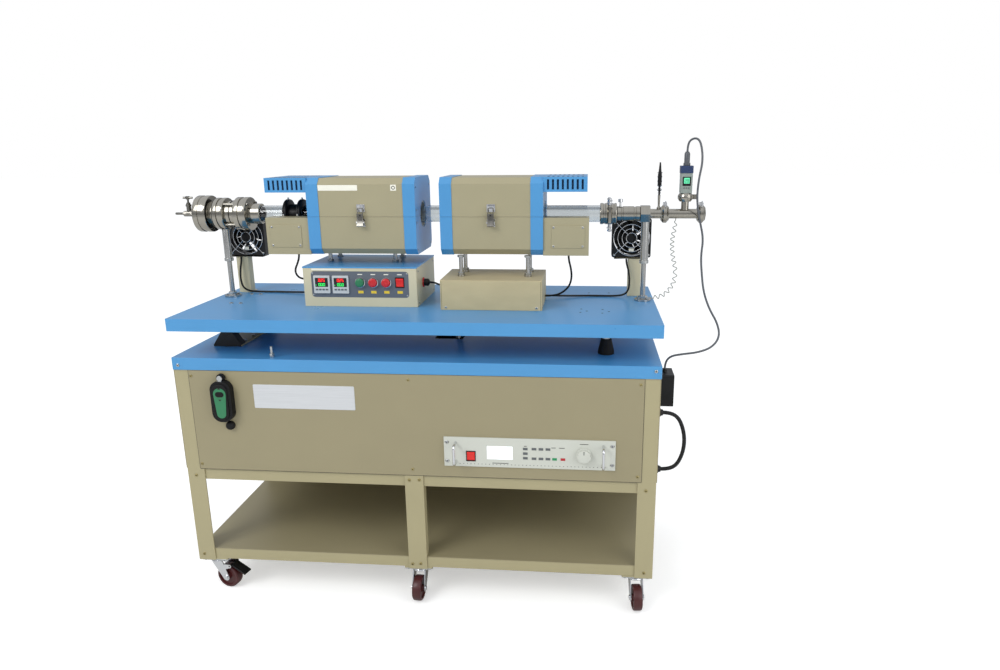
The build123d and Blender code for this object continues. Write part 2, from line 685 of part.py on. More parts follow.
CASTER_X = (-FRAME_X + LEG_WALL + FOOT_LENGTH / 2, POST_X, FRAME_X - LEG_WALL - FOOT_LENGTH / 2)
CORNER_CASTER_Y = FRAME_Y - LEG_WALL - FOOT_WIDTH / 2
POST_CASTER_Y = FRAME_Y - POST_WALL - FOOT_WIDTH / 2
CASTERS = {
    "front_left": (CASTER_X[0], -CORNER_CASTER_Y, -12),
    "front_middle": (CASTER_X[1], -POST_CASTER_Y, -93),
    "front_right": (CASTER_X[2], -CORNER_CASTER_Y, -84),
    "rear_left": (CASTER_X[0], CORNER_CASTER_Y, 100),
    "rear_middle": (CASTER_X[1], POST_CASTER_Y, 78),
    "rear_right": (CASTER_X[2], CORNER_CASTER_Y, 95),
}
RACE_BOTTOM = CASTER_HEIGHT - CASTER_PLATE - RACE_HEIGHT
FORK_TOP = RACE_BOTTOM - TURN_GAP
FORK_INNER = HUB_WIDTH / 2 + SIDE_GAP


def caster_plates():
    """Six pressed top plates, each with the fixed race of its swivel bearing."""
    plates = []
    for x, y, _ in CASTERS.values():
        plate = Pos(x, y) * RectangleRounded(FOOT_LENGTH, FOOT_WIDTH, 6)
        plate = prism(plate, "Z", CASTER_HEIGHT - CASTER_PLATE, CASTER_HEIGHT)
        race = rod("Z", (x, y), RACE_RADIUS, RACE_BOTTOM, CASTER_HEIGHT - CASTER_PLATE)
        bore = rod("Z", (x, y), KINGPIN_RADIUS + RUNNING_GAP, RACE_BOTTOM, CASTER_HEIGHT)
        plates.append(fuse(plate, race) - bore)
    return group(*plates)


def caster_fork():
    """Pressed fork with its kingpin and axle, wheel towards +X and swivel axis on Z."""
    crown = turned("Z", (0, 0), [(0, FORK_TOP), (KINGPIN_RADIUS, FORK_TOP), (RACE_RADIUS, FORK_TOP),
                                 (RACE_RADIUS + 2, FORK_TOP - FORK_TOP_DROP),
                                 (RACE_RADIUS + 2, FORK_TOP - FORK_TOP_DROP - FORK_WALL),
                                 (0, FORK_TOP - FORK_TOP_DROP - FORK_WALL)])
    kingpin = rod("Z", (0, 0), KINGPIN_RADIUS, FORK_TOP - 1, CASTER_HEIGHT - 1)
    crown_bottom = FORK_TOP - FORK_TOP_DROP - FORK_WALL
    cheek = make_hull(
        [
            *(Pos(TRAIL, WHEEL_RADIUS) * Circle(11)).edges(),
            *(Pos(2, crown_bottom + 1) * Rectangle(40, 2)).edges(),
        ]
    )
    cheeks = [
        prism(cheek, "Y", FORK_INNER, FORK_INNER + FORK_WALL),
        prism(cheek, "Y", -FORK_INNER - FORK_WALL, -FORK_INNER),
    ]
    reach = FORK_INNER + FORK_WALL + 3
    axle = rod("Y", (TRAIL, WHEEL_RADIUS), AXLE_RADIUS, -reach, reach)
    sides = ((-reach, -reach + 3), (reach - 3, reach))
    nuts = [rod("Y", (TRAIL, WHEEL_RADIUS), 7, *ends) for ends in sides]
    return fuse(crown, kingpin, *cheeks, axle, *nuts)


def caster_wheel():
    """Cast wheel with a rounded tread and a hub that runs on the axle."""
    half = WHEEL_WIDTH / 2
    hub = HUB_WIDTH / 2
    bore = AXLE_RADIUS + RUNNING_GAP
    outline = [(bore, -hub), (11, -hub), (11, -half + 4), (WHEEL_RADIUS - 9, -half + 4),
               (WHEEL_RADIUS - 8, -half),
               (WHEEL_RADIUS - 3, -half), (WHEEL_RADIUS, -half + 4), (WHEEL_RADIUS, half - 4),
               (WHEEL_RADIUS - 3, half), (WHEEL_RADIUS - 8, half), (WHEEL_RADIUS - 9, half - 4),
               (11, half - 4),
               (11, hub), (bore, hub)]
    return turned("Y", (TRAIL, WHEEL_RADIUS), outline)


def brake_pedal():
    """Pressed pedal of the front left caster, pivoted above its fork's crown edge."""
    plate = make_face(Polyline((0, 0), (4, 5), (40, -13), (52, -20), (50, -24), (38, -17), (4, 0),
                               close=True))
    pedal = prism(plate, "Y", -15, 15)
    lugs = [rod("Y", (0, 0), 5, *ends) for ends in ((-15, -11), (11, 15))]
    pin = rod("Y", (0, 0), 2.5, -FORK_INNER - FORK_WALL, FORK_INNER + FORK_WALL)
    return Pos(PEDAL_PIVOT[0], 0, PEDAL_PIVOT[1]) * fuse(pedal, *lugs, pin)


def pedal_ears():
    """Ears that carry the brake pedal's pin on the front left fork."""
    ear = make_hull(
        [
            *(Pos(*PEDAL_PIVOT) * Circle(6)).edges(),
            *(Pos(22, 72) * Rectangle(8, 16)).edges(),
        ]
    )
    ears = [
        prism(ear, "Y", FORK_INNER, FORK_INNER + FORK_WALL),
        prism(ear, "Y", -FORK_INNER - FORK_WALL, -FORK_INNER),
    ]
    reach = FORK_INNER + FORK_WALL + 1
    return fuse(*ears) - rod("Y", PEDAL_PIVOT, 2.5 + RUNNING_GAP, -reach, reach)


def seat_caster(name, piece):
    """Puts a caster piece under its plate, turned to its heading."""
    x, y, heading = CASTERS[name]
    return Pos(x, y, 0) * Rot(0, 0, heading) * piece


# ---------------------------------------------------------------- tilting table


def tilt_supports():
    """Hinge block, actuator foot, two rubber rest feet and a stud, all fixed on the cart."""
    base_x = (HINGE_X - HINGE_BLOCK / 2, HINGE_X + HINGE_BLOCK / 2)
    reach = HINGE_LUG_Y + HINGE_LUG
    base = block(base_x, (-reach, reach), (LOWER_TOP_Z, LOWER_TOP_Z + HINGE_PLATE))
    foot_place = Pos(HINGE_X, LOWER_TOP_Z + HINGE_PLATE / 2)
    cheek = make_hull(
        [
            *(Pos(HINGE_X, HINGE_Z) * Circle(HINGE_BOSS)).edges(),
            *(foot_place * Rectangle(HINGE_BLOCK, HINGE_PLATE)).edges(),
        ]
    )
    lugs = [prism(cheek, "Y", low, low + HINGE_LUG) for low in (-reach, HINGE_LUG_Y)]
    hinge = fuse(base, *lugs) - rod("Y", (HINGE_X, HINGE_Z), HINGE_PIN + RUNNING_GAP, -reach, reach)
    foot = actuator_clevis(ACTUATOR_FOOT_X, ACTUATOR_FOOT_Z, CABINET_FLOOR_Z, RUNNING_GAP)
    feet = [rest_foot(y) for y in (-FOOT_Y, FOOT_Y)]
    stud = rod("Z", (STUD_X, STUD_Y), STUD_RADIUS, LOWER_TOP_Z, LOWER_TOP_Z + STUD_HEIGHT)
    head = rod("Z", (STUD_X, STUD_Y), STUD_RADIUS + 2, LOWER_TOP_Z, LOWER_TOP_Z + 5)
    return group(hinge, foot, *feet, fuse(stud, head))


def rest_foot(y):
    """Rubber buffer with the steel stud that the lowered table rests on."""
    rubber_top = LOWER_TOP_Z + FOOT_RUBBER
    stud_top = TABLE_UNDER - SEAT_GAP
    outline = [(0, LOWER_TOP_Z), (FOOT_BASE, LOWER_TOP_Z), (FOOT_BASE, LOWER_TOP_Z + 8),
               (FOOT_TOP, rubber_top),
               (FOOT_STUD + 5, rubber_top), (FOOT_STUD + 5, rubber_top + 6),
               (FOOT_STUD, rubber_top + 6),
               (FOOT_STUD, stud_top), (0, stud_top)]
    return turned("Z", (FOOT_X, y), outline)


def actuator_clevis(x, z, base_z, play):
    """Two ears and their base plate round an actuator pin; base_z is the face it stands or hangs on."""
    out = 1 if z > base_z else -1
    plate_z = sorted((base_z, base_z + out * CLEVIS_WALL))
    plate = block((x - 26, x + 26), (-34, 34), plate_z)
    ear = make_hull(
        [
            *(Pos(x, z) * Circle(ACTUATOR_PIN + 7)).edges(),
            *(Pos(x, sum(plate_z) / 2) * Rectangle(36, CLEVIS_WALL)).edges(),
        ]
    )
    inner = ACTUATOR_EYE_WIDTH / 2 + SIDE_GAP
    ears = [prism(ear, "Y", inner, inner + CLEVIS_WALL), prism(ear, "Y", -inner - CLEVIS_WALL, -inner)]
    bore = rod("Y", (x, z), ACTUATOR_PIN + play, -inner - CLEVIS_WALL, inner + CLEVIS_WALL)
    return fuse(plate, *ears) - bore


def tilt_table():
    """Folded table top with three cross beams welded below its skin."""
    reach = TOP_LENGTH / 2
    half = TOP_DEPTH / 2
    y = (TABLE_SHIFT_Y - half, TABLE_SHIFT_Y + half)
    top = tray((-reach, reach), y, (TABLE_UNDER, TABLE_Z), SHEET, TOP_CORNER)
    inner_y = (y[0] + SHEET, y[1] - SHEET)
    beams = []
    for x in (HINGE_X, ACTUATOR_TOP_X, FOOT_X):
        outer = block((x - BEAM_WIDTH / 2, x + BEAM_WIDTH / 2), inner_y, (TABLE_UNDER, TABLE_Z - SHEET))
        hollow_x = (x - BEAM_WIDTH / 2 + BEAM_WALL, x + BEAM_WIDTH / 2 - BEAM_WALL)
        beams.append(outer - block(hollow_x, inner_y, (TABLE_UNDER + BEAM_WALL, TABLE_Z - SHEET)))
    return fuse(top, *beams)


def table_brackets():
    """Hinge leaf with its pin, and the actuator bar with its clevis and pin, below the table."""
    pin_reach = HINGE_LUG_Y + HINGE_LUG
    inner = HINGE_LUG_Y - SIDE_GAP
    leaf = block((HINGE_X - 25, HINGE_X + 25), (-inner, inner),
                 (TABLE_UNDER - HINGE_PLATE, TABLE_UNDER))
    knuckle = make_hull(
        [
            *(Pos(HINGE_X, HINGE_Z) * Circle(HINGE_BOSS)).edges(),
            *(Pos(HINGE_X, TABLE_UNDER - HINGE_PLATE / 2) * Rectangle(44, HINGE_PLATE)).edges(),
        ]
    )
    sides = ((-inner, -inner + HINGE_LUG), (inner - HINGE_LUG, inner))
    knuckles = [prism(knuckle, "Y", *ends) for ends in sides]
    pin = rod("Y", (HINGE_X, HINGE_Z), HINGE_PIN, -pin_reach, pin_reach)
    bar_x = (ACTUATOR_TOP_X - ACTUATOR_BAR / 2, ACTUATOR_TOP_X + ACTUATOR_BAR / 2)
    bar = block(bar_x, (-45, -35), (TABLE_UNDER - 10, TABLE_UNDER))
    clevis = actuator_clevis(ACTUATOR_TOP_X, ACTUATOR_TOP_Z, TABLE_UNDER, 0)
    bars = fuse(bar, mirror(bar, about=Plane.XZ), clevis)
    inner_eye = ACTUATOR_EYE_WIDTH / 2 + SIDE_GAP + CLEVIS_WALL
    ties = block((ACTUATOR_TOP_X - 10, ACTUATOR_TOP_X + 10), (-45, 45),
                 (TABLE_UNDER - CLEVIS_WALL, TABLE_UNDER))
    eye_pin = rod("Y", (ACTUATOR_TOP_X, ACTUATOR_TOP_Z), ACTUATOR_PIN, -inner_eye, inner_eye)
    return group(fuse(leaf, *knuckles, pin), fuse(bars, ties, eye_pin))


def lean(piece):
    """Turns a piece drawn upright at the actuator's foot to the actuator's line."""
    return Pos(ACTUATOR_FOOT_X, 0, ACTUATOR_FOOT_Z) * Rot(0, ACTUATOR_LEAN, 0) * piece


def actuator_body():
    """Outer tube with its rear eye and pin, and the motor housing beside it."""
    tube = pipe("Z", (0, 0), ACTUATOR_TUBE, ACTUATOR_ROD + TURN_GAP, 24, ACTUATOR_TUBE_LENGTH)
    cap = rod("Z", (0, 0), ACTUATOR_TUBE, 14, 24)
    half = ACTUATOR_EYE_WIDTH / 2
    eye = make_hull([*Circle(ACTUATOR_EYE).edges(), *(Pos(0, 16) * Rectangle(30, 4)).edges()])
    pin = rod("Y", (0, 0), ACTUATOR_PIN, -half - CLEVIS_WALL, half + CLEVIS_WALL)
    motor = rod("Z", (0, 55), 20, 60, 190)
    bridge = block((-18, 18), (10, 60), (40, 60))
    tube = fuse(tube, cap, prism(eye, "Y", -half, half), pin, bridge, motor)
    return lean(tube)


def actuator_rod():
    """Push rod with the eye that goes over the table's pin with play."""
    half = ACTUATOR_EYE_WIDTH / 2
    shaft = rod("Z", (0, 0), ACTUATOR_ROD, 100, ACTUATOR_RUN - ACTUATOR_EYE + 2)
    eye = rod("Y", (0, ACTUATOR_RUN), ACTUATOR_EYE, -half, half)
    hole = rod("Y", (0, ACTUATOR_RUN), ACTUATOR_PIN + ACTUATOR_PLAY, -half, half)
    return lean(fuse(shaft, eye) - hole)


# ---------------------------------------------------------------- control box and pedestal


def control_box():
    """Folded case with the panel cut-out, its top plate and the connector on its right side."""
    x, y, z = (BOX_LEFT, BOX_RIGHT), (BOX_FRONT, BOX_BACK), (TABLE_Z, BOX_TOP)
    case = fillet(block(x, y, z).edges().filter_by(Axis.Z), 2)
    case -= block((x[0] + SHEET, x[1] - SHEET), (y[0] + SHEET, y[1] - SHEET), (z[0], z[1] - SHEET))
    case -= prism(panel_outline(), "Y", BOX_FRONT, BOX_FRONT + SHEET)
    plate = block((x[0] - 1, x[1] + 1), (y[0] - 1, y[1] + 1), (BOX_TOP, PLATE_TOP))
    link_z = TABLE_Z + LINK_RISE
    link = turned("X", (LINK_Y, link_z), [(0, BOX_RIGHT), (15, BOX_RIGHT), (15, BOX_RIGHT + 3),
                                          (11, BOX_RIGHT + 3),
                                          (11, BOX_RIGHT + 16), (6, BOX_RIGHT + 20),
                                          (0, BOX_RIGHT + 20)])
    return group(case, plate, link)


def panel_outline():
    """Rounded outline of the control panel, in XZ."""
    return Pos(BOX_MIDDLE, PANEL_Z) * RectangleRounded(PANEL_WIDTH, PANEL_HEIGHT, PANEL_ROUND)


SWITCH_PIVOT = rocker_place(BOX_MIDDLE + SWITCH_X, PANEL_Z + BUTTON_RISE, BOX_FRONT)


def controller_body(x):
    """Outline of a controller's body behind its bezel, in XZ."""
    return Pos(BOX_MIDDLE + x, PANEL_Z) * Rectangle(CONTROLLER_WIDTH - 4, CONTROLLER_HEIGHT - 8)


def temperature_controllers():
    """Two panel-mounted controllers: a bezel in front of the panel and a body behind it."""
    controllers = []
    for x in CONTROLLER_X:
        face = RectangleRounded(CONTROLLER_WIDTH, CONTROLLER_HEIGHT, 2)
        outline = Pos(BOX_MIDDLE + x, PANEL_Z) * face
        bezel = prism(outline, "Y", BOX_FRONT - CONTROLLER_PROUD, BOX_FRONT)
        body = prism(controller_body(x), "Y", BOX_FRONT, BOX_FRONT + CONTROLLER_DEPTH)
        controllers.append(fuse(bezel, body))
    return group(*controllers)


def control_panel():
    """Panel plate with its cut-outs, three button bezels and the power switch well."""
    back = BOX_FRONT + PANEL_THICK
    plate = prism(panel_outline(), "Y", BOX_FRONT, back)
    bezels = []
    for x in CONTROLLER_X:
        plate -= prism(controller_body(x), "Y", BOX_FRONT, back)
    button_z = PANEL_Z + BUTTON_RISE
    for x in BUTTON_X:
        across = (BOX_MIDDLE + x, button_z)
        plate -= rod("Y", across, BUTTON_RADIUS + 1, BOX_FRONT, back)
        bezel = pipe("Y", across, BUTTON_BEZEL, BUTTON_RADIUS - 2 + SIDE_GAP, BOX_FRONT - 3, BOX_FRONT)
        barrel = pipe("Y", across, BUTTON_RADIUS + 1, BUTTON_RADIUS - 2 + SIDE_GAP, BOX_FRONT,
                      BOX_FRONT + 30)
        stop = rod("Y", across, BUTTON_RADIUS + 1, BOX_FRONT + 30, BOX_FRONT + 34)
        bezels.append(fuse(bezel, barrel, stop))
    hole = Pos(SWITCH_PIVOT[0], SWITCH_PIVOT[2]) * Rectangle(SWITCH_WIDTH, SWITCH_HEIGHT)
    plate -= prism(hole, "Y", BOX_FRONT, back)
    well = rocker_well(SWITCH_PIVOT, SWITCH_WIDTH, SWITCH_HEIGHT, BOX_FRONT)
    return group(plate, *bezels, well)


def push_button(x):
    """Push button: a domed cap on a plunger that slides in its barrel."""
    across = (BOX_MIDDLE + x, PANEL_Z + BUTTON_RISE)
    cap_back = BOX_FRONT - 3 - BUTTON_TRAVEL - SEAT_GAP
    nose = cap_back - BUTTON_PROUD
    outline = [(0, nose), (BUTTON_RADIUS - 5, nose), (BUTTON_RADIUS - 1, nose + 2),
               (BUTTON_RADIUS, nose + 4),
               (BUTTON_RADIUS, cap_back), (BUTTON_RADIUS - 2, cap_back),
               (BUTTON_RADIUS - 2, BOX_FRONT + 30 - BUTTON_TRAVEL - SEAT_GAP),
               (0, BOX_FRONT + 30 - BUTTON_TRAVEL - SEAT_GAP)]
    return turned("Y", across, outline)


def pedestal():
    """Folded sheet box, open below, with turned-in feet."""
    x, y, z = (PEDESTAL_LEFT, PEDESTAL_RIGHT), (PEDESTAL_FRONT, PEDESTAL_BACK), (TABLE_Z, PEDESTAL_TOP)
    shell = fillet(block(x, y, z).edges().filter_by(Axis.Z), 3)
    inner = ((x[0] + SHEET, x[1] - SHEET), (y[0] + SHEET, y[1] - SHEET))
    shell -= block(*inner, (z[0] + SHEET, z[1] - SHEET))
    fold = SHEET + PEDESTAL_FOLD
    return shell - block((x[0] + fold, x[1] - fold), (y[0] + fold, y[1] - fold), (z[0], z[0] + SHEET))


def steel_posts():
    """Furnace posts, and the two adjustable posts that carry the seal and the outlet line."""
    posts = [rod("Z", at, POST_RADIUS, PLATE_TOP, FURNACE_BOTTOM) for at in LEFT_POSTS]
    for at in RIGHT_POSTS:
        shaft = rod("Z", at, POST_RADIUS, PEDESTAL_TOP, FURNACE_BOTTOM)
        posts.append(fuse(shaft, rod("Z", at, POST_RADIUS + 5, PEDESTAL_TOP, PEDESTAL_TOP + 6)))
    ring = INLET_RINGS[1]
    saddle = rod("X", (TUBE_Y, TUBE_Z), ring[2], ring[0], ring[1])
    posts.append(support_post(SUPPORT_LEFT_X, TUBE_Z - ring[2] / 2) - saddle)
    posts.append(support_post(SUPPORT_RIGHT_X, TUBE_Z - OUTLET_BLOCK[2]))
    return group(*posts)


def support_post(x, top):
    """Rod in a flanged foot, with an adjusting sleeve up to what it carries."""
    across = (x, TUBE_Y)
    flange = rod("Z", across, SUPPORT_FLANGE, TABLE_Z, TABLE_Z + FLANGE_THICK)
    shaft = rod("Z", across, SUPPORT_ROD, TABLE_Z, TABLE_Z + SUPPORT_SLEEVE_RISE)
    sleeve = rod("Z", across, SUPPORT_SLEEVE, TABLE_Z + SUPPORT_SLEEVE_RISE, top)
    return fuse(flange, shaft, sleeve)


# ---------------------------------------------------------------- furnaces


def furnace_section(inset):
    """Chamfered section of both halves, in YZ, drawn in by inset."""
    whole = chamfer(Rectangle(FURNACE_DEPTH, FURNACE_HEIGHT).vertices(), FURNACE_CHAMFER)
    if inset:
        whole = offset(whole, -inset, kind=Kind.INTERSECTION)
    return Pos(TUBE_Y, TUBE_Z) * whole


def furnace_half(profile, side, low, high):
    """Part of a profile above (side 1) or below (side -1) the split, carried along the tube."""
    window = Pos(TUBE_Y, TUBE_Z + side * (SPLIT_GAP / 2 + FURNACE_HEIGHT)) * Rectangle(
        2 * FURNACE_DEPTH, 2 * FURNACE_HEIGHT
    )
    return prism(profile & window, "X", low, high)


def half_case(ends, side):
    """Sheet wrap and two end caps of one half."""
    low, high = ends
    wrap = furnace_section(CAP_WALL) - furnace_section(CAP_WALL + CASE_WALL)
    wrap = furnace_half(wrap, side, low + CAP_END, high - CAP_END)
    face = furnace_section(0) - Pos(TUBE_Y, TUBE_Z) * Circle(END_HOLE)
    skirt = furnace_section(0) - furnace_section(CAP_WALL)
    caps = [
        fuse(
            furnace_half(face, side, low, low + CAP_END),
            furnace_half(skirt, side, low, low + CAP_WIDTH),
        ),
        fuse(
            furnace_half(face, side, high - CAP_END, high),
            furnace_half(skirt, side, high - CAP_WIDTH, high),
        ),
    ]
    return [wrap, *caps]


def half_insulation(ends, side):
    """Fibre block that fills one half round the heated chamber."""
    body = furnace_section(CAP_WALL + CASE_WALL) - Pos(TUBE_Y, TUBE_Z) * Circle(CHAMBER_RADIUS)
    return furnace_half(body, side, ends[0] + CAP_END, ends[1] - CAP_END)


def hinge_places(ends):
    """Middles of a furnace's two rear hinges along X."""
    return ends[0] + LID_HINGE_INSET, ends[1] - LID_HINGE_INSET


def lid_hinge_fixed(x):
    """Fixed hinge leaf on the lower half, with the pin through its two knuckles."""
    half = LID_HINGE_WIDTH / 2
    leaf = block((x - half, x + half), (WRAP_REAR, WRAP_REAR + 2), (TUBE_Z - 30, TUBE_Z - 7))
    arm = make_hull(
        [
            *(Pos(LID_HINGE_Y, TUBE_Z) * Circle(LID_HINGE_BOSS)).edges(),
            *(Pos(WRAP_REAR + 1, TUBE_Z - 18) * Rectangle(2, 22)).edges(),
        ]
    )
    arms = [prism(arm, "X", x - half, x - half / 2), prism(arm, "X", x + half / 2, x + half)]
    pin = rod("X", (LID_HINGE_Y, TUBE_Z), LID_HINGE_PIN, x - half, x + half)
    return fuse(leaf, *arms, pin)


def lid_hinge_moving(x):
    """Middle knuckle on the lid, bored for the pin."""
    half = LID_HINGE_WIDTH / 4 - SIDE_GAP
    arm = make_hull(
        [
            *(Pos(LID_HINGE_Y, TUBE_Z) * Circle(LID_HINGE_BOSS)).edges(),
            *(Pos(WRAP_REAR + 1, TUBE_Z + 18) * Rectangle(2, 22)).edges(),
        ]
    )
    knuckle = prism(arm, "X", x - half, x + half)
    return knuckle - rod("X", (LID_HINGE_Y, TUBE_Z), LID_HINGE_PIN + RUNNING_GAP, x - half, x + half)


def latch_base(x):
    """Latch plate with two ears, on the front of the lower half."""
    half = LATCH_WIDTH / 2
    plate = block((x - half, x + half), (WRAP_FRONT - 2, WRAP_FRONT), (LATCH_Z - 12, LATCH_Z + 10))
    ear = make_hull(
        [
            *(Pos(LATCH_Y, LATCH_Z) * Circle(4)).edges(),
            *(Pos(WRAP_FRONT - 1, LATCH_Z) * Rectangle(2, 14)).edges(),
        ]
    )
    ears = [prism(ear, "X", x - half, x - half + 2), prism(ear, "X", x + half - 2, x + half)]
    hole = rod("X", (LATCH_Y, LATCH_Z), LATCH_PIN + RUNNING_GAP, x - half, x + half)
    return fuse(plate, *ears) - hole


def latch_keeper(x):
    """Keeper plate on the lid, with the lip behind the latch's bar."""
    half = LATCH_WIDTH / 2
    bar_z = LATCH_Z + LATCH_REACH
    plate = block((x - half, x + half), (WRAP_FRONT - 2, WRAP_FRONT), (bar_z - 12, bar_z + 10))
    lip_y = (LATCH_Y + LATCH_WIRE + SIDE_GAP, WRAP_FRONT)
    return fuse(plate, block((x - half + 3, x + half - 3), lip_y, (bar_z - 4, bar_z + 4)))


def latch(ends):
    """Swinging latch: a pin and boss, the wire bail that holds the keeper, and the lever plate."""
    x = sum(ends) / 2
    half = LATCH_WIDTH / 2
    inner = half - 2 - SIDE_GAP
    side = inner - 2
    bar_z = LATCH_Z + LATCH_REACH
    pin = rod("X", (LATCH_Y, LATCH_Z), LATCH_PIN, x - half, x + half)
    boss = rod("X", (LATCH_Y, LATCH_Z), 3.5, x - inner, x + inner)
    path = Plane.XZ * FilletPolyline((-side, LATCH_Z), (-side, bar_z), (side, bar_z), (side, LATCH_Z),
                                     radius=3)
    bail = Pos(x, LATCH_Y, 0) * sweep(Plane(origin=path @ 0, z_dir=path % 0) * Circle(LATCH_WIRE), path)
    lever = make_face(Polyline((LATCH_Y - 4.5, LATCH_Z + 26), (LATCH_Y - 2, LATCH_Z + 26),
                               (LATCH_Y - 2, LATCH_Z),
                               (LATCH_Y - 9, LATCH_Z - 11), (LATCH_Y - 11, LATCH_Z - 9),
                               (LATCH_Y - 4.5, LATCH_Z + 3), close=True))
    return fuse(boss, pin, prism(lever, "X", x - inner, x + inner), bail)


def vent_box(end_x, out):
    """Slotted guard over the heater leads, fixed to the outer end of a lid; out is 1 or -1 along X."""
    x = sorted((end_x, end_x + out * VENT_REACH))
    y = (FURNACE_FRONT + 6, FURNACE_FRONT + 6 + VENT_DEPTH)
    z = (FURNACE_TOP - VENT_HEIGHT, FURNACE_TOP)
    wall = VENT_WALL
    shell = block(x, y, z) - block((x[0] + wall, x[1] - wall), (y[0] + wall, y[1] - wall),
                                   (z[0], z[1] - wall))
    middle = Pos(sum(x) / 2, sum(z) / 2)
    slot = Rectangle(VENT_SLOT, VENT_HEIGHT - 14)
    slots = Sketch() + GridLocations(VENT_PITCH, VENT_PITCH, VENT_SLOTS, 1) * slot
    return shell - prism(middle * slots, "Y", y[0], y[1])


def terminal_box(end_x, out):
    """Terminal housing with its screwed cover, on the outer end of a lower half."""
    x = sorted((end_x, end_x + out * TERMINAL_REACH))
    y = (TERMINAL_FRONT, TERMINAL_FRONT + TERMINAL_DEPTH)
    z = (FURNACE_BOTTOM, TUBE_Z - TERMINAL_TOP_DROP)
    wall = VENT_WALL
    shell = block(x, y, z) - block(*[(low + wall, high - wall) for low, high in (x, y, z)])
    middle = Pos(sum(x) / 2 + out * 6, sum(z) / 2)
    window = middle * Rectangle(TERMINAL_COVER[0] - 12, TERMINAL_COVER[1] - 12)
    shell -= prism(window, "Y", y[0], y[0] + wall)
    cover = prism(middle * Rectangle(*TERMINAL_COVER), "Y", y[0] - COVER_THICK, y[0])
    return [shell, cover]


def furnace_cases():
    """Lower halves of both furnaces with hinge leaves and latch bases."""
    pieces = []
    for ends in (LEFT_FURNACE, RIGHT_FURNACE):
        pieces += half_case(ends, -1)
        pieces += [lid_hinge_fixed(x) for x in hinge_places(ends)]
        pieces.append(latch_base(sum(ends) / 2))
    return group(*pieces)


def furnace_lid(ends, end_x, out):
    """Upper half of one furnace: wrap, end caps, vent box, hinge knuckles and keeper."""
    knuckles = [lid_hinge_moving(x) for x in hinge_places(ends)]
    return group(*half_case(ends, 1), vent_box(end_x, out), *knuckles, latch_keeper(sum(ends) / 2))


# ---------------------------------------------------------------- tube, electrode and seals


def quartz_tube():
    """Open fused-quartz tube through both furnaces."""
    return pipe("X", (TUBE_Y, TUBE_Z), TUBE_RADIUS, TUBE_RADIUS - TUBE_WALL, TUBE_LEFT, TUBE_RIGHT)


def rf_electrode():
    """Two insulating collars on the tube with the steel band between them."""
    low, high = ELECTRODE_X
    axis = (TUBE_Y, TUBE_Z)
    band = pipe("X", axis, BAND_RADIUS, TUBE_RADIUS, low + COLLAR_WIDTH / 2, high - COLLAR_WIDTH / 2)
    collars = []
    for x in ELECTRODE_X:
        side = COLLAR_WIDTH / 2
        outline = [(TUBE_RADIUS, x - side), (COLLAR_RADIUS - 3, x - side),
                   (COLLAR_RADIUS, x - side + 3),
                   (COLLAR_RADIUS, x + side - 3), (COLLAR_RADIUS - 3, x + side),
                   (TUBE_RADIUS, x + side)]
        collars.append(turned("X", axis, outline))
    return group(band, *collars)


INLET_RINGS = (
    (-723.0, -681.0, 56.0),
    (-664.0, -630.0, 49.0),
    (-597.0, -557.0, 51.0),
)
INLET_NECKS = (
    (-681.0, -664.0, 38.0),
    (-630.0, -597.0, 39.0),
    (-557.0, -522.0, 31.0),
)
OUTLET_RINGS = (
    (521.0, 545.0, 31.5),
    (553.0, 570.0, 31.5),
)
YOKE_X = (545.0, 553.0)
YOKE_SIZE = (90.0, 56.0)
OUTLET_BODY = (570.0, 640.0, 22.0)
OUTLET_BLOCK = (640.0, 668.0, 23.5)


def seal_ring(low, high, radius, bore):
    """Turned ring with its edges broken by small bevels."""
    edge = 2.0
    outline = [(bore, low), (radius - edge, low), (radius, low + edge), (radius, high - edge),
               (radius - edge, high),
               (bore, high)]
    return turned("X", (TUBE_Y, TUBE_Z), outline)


def inlet_seal():
    """Blind flange, clamp rings and gland of the left seal, their bolts, and the gas fitting."""
    bore = TUBE_RADIUS + SEAL_GAP
    blind = seal_ring(*INLET_RINGS[0], PORT_RADIUS)
    rings = [seal_ring(*ring, bore) for ring in INLET_RINGS[1:]]
    necks = [seal_ring(*neck, bore) for neck in INLET_NECKS]
    bolts = []
    for place in PolarLocations(BOLT_CIRCLE, 4, 45):
        across = (TUBE_Y + place.position.X, TUBE_Z + place.position.Y)
        bolts.append(rod("X", across, BOLT_RADIUS, INLET_RINGS[1][1], INLET_RINGS[2][0]))
    left = INLET_RINGS[0][0]
    axis = (TUBE_Y, TUBE_Z)
    fitting = turned("X", axis, [(PORT_RADIUS - 2, STUB_END), (PORT_RADIUS - 1, STUB_END),
                                 (PORT_RADIUS, STUB_END + 2), (PORT_RADIUS, VALVE_X - 16),
                                 (9, VALVE_X - 16), (9, VALVE_X + 16), (7, VALVE_X + 16), (7, left),
                                 (PORT_RADIUS - 2, left)])
    stem_hole = VALVE_STEM_RISE - 14
    neck = pipe("Z", (VALVE_X, TUBE_Y), 7, 3 + RUNNING_GAP, TUBE_Z + 6, TUBE_Z + stem_hole)
    neck_fill = rod("X", axis, PORT_RADIUS - 2, VALVE_X - 16, VALVE_X + 16)
    return group(blind, *rings, *necks, *bolts, fuse(fitting, neck - neck_fill))


def valve_handle():
    """Stem and T bar of the gas valve."""
    across = (VALVE_X, TUBE_Y)
    top = TUBE_Z + VALVE_STEM_RISE
    stem = rod("Z", across, 3, TUBE_Z + 14, top)
    hub = rod("Z", across, 6, top, top + 10)
    bar = rod("X", (TUBE_Y, top + 5), 3.5, VALVE_X - 15, VALVE_X + 15)
    collar = rod("Z", across, 6, TUBE_Z + VALVE_STEM_RISE - 14 + SEAT_GAP,
                 TUBE_Z + VALVE_STEM_RISE - 10)
    return fuse(stem, collar, hub, bar)


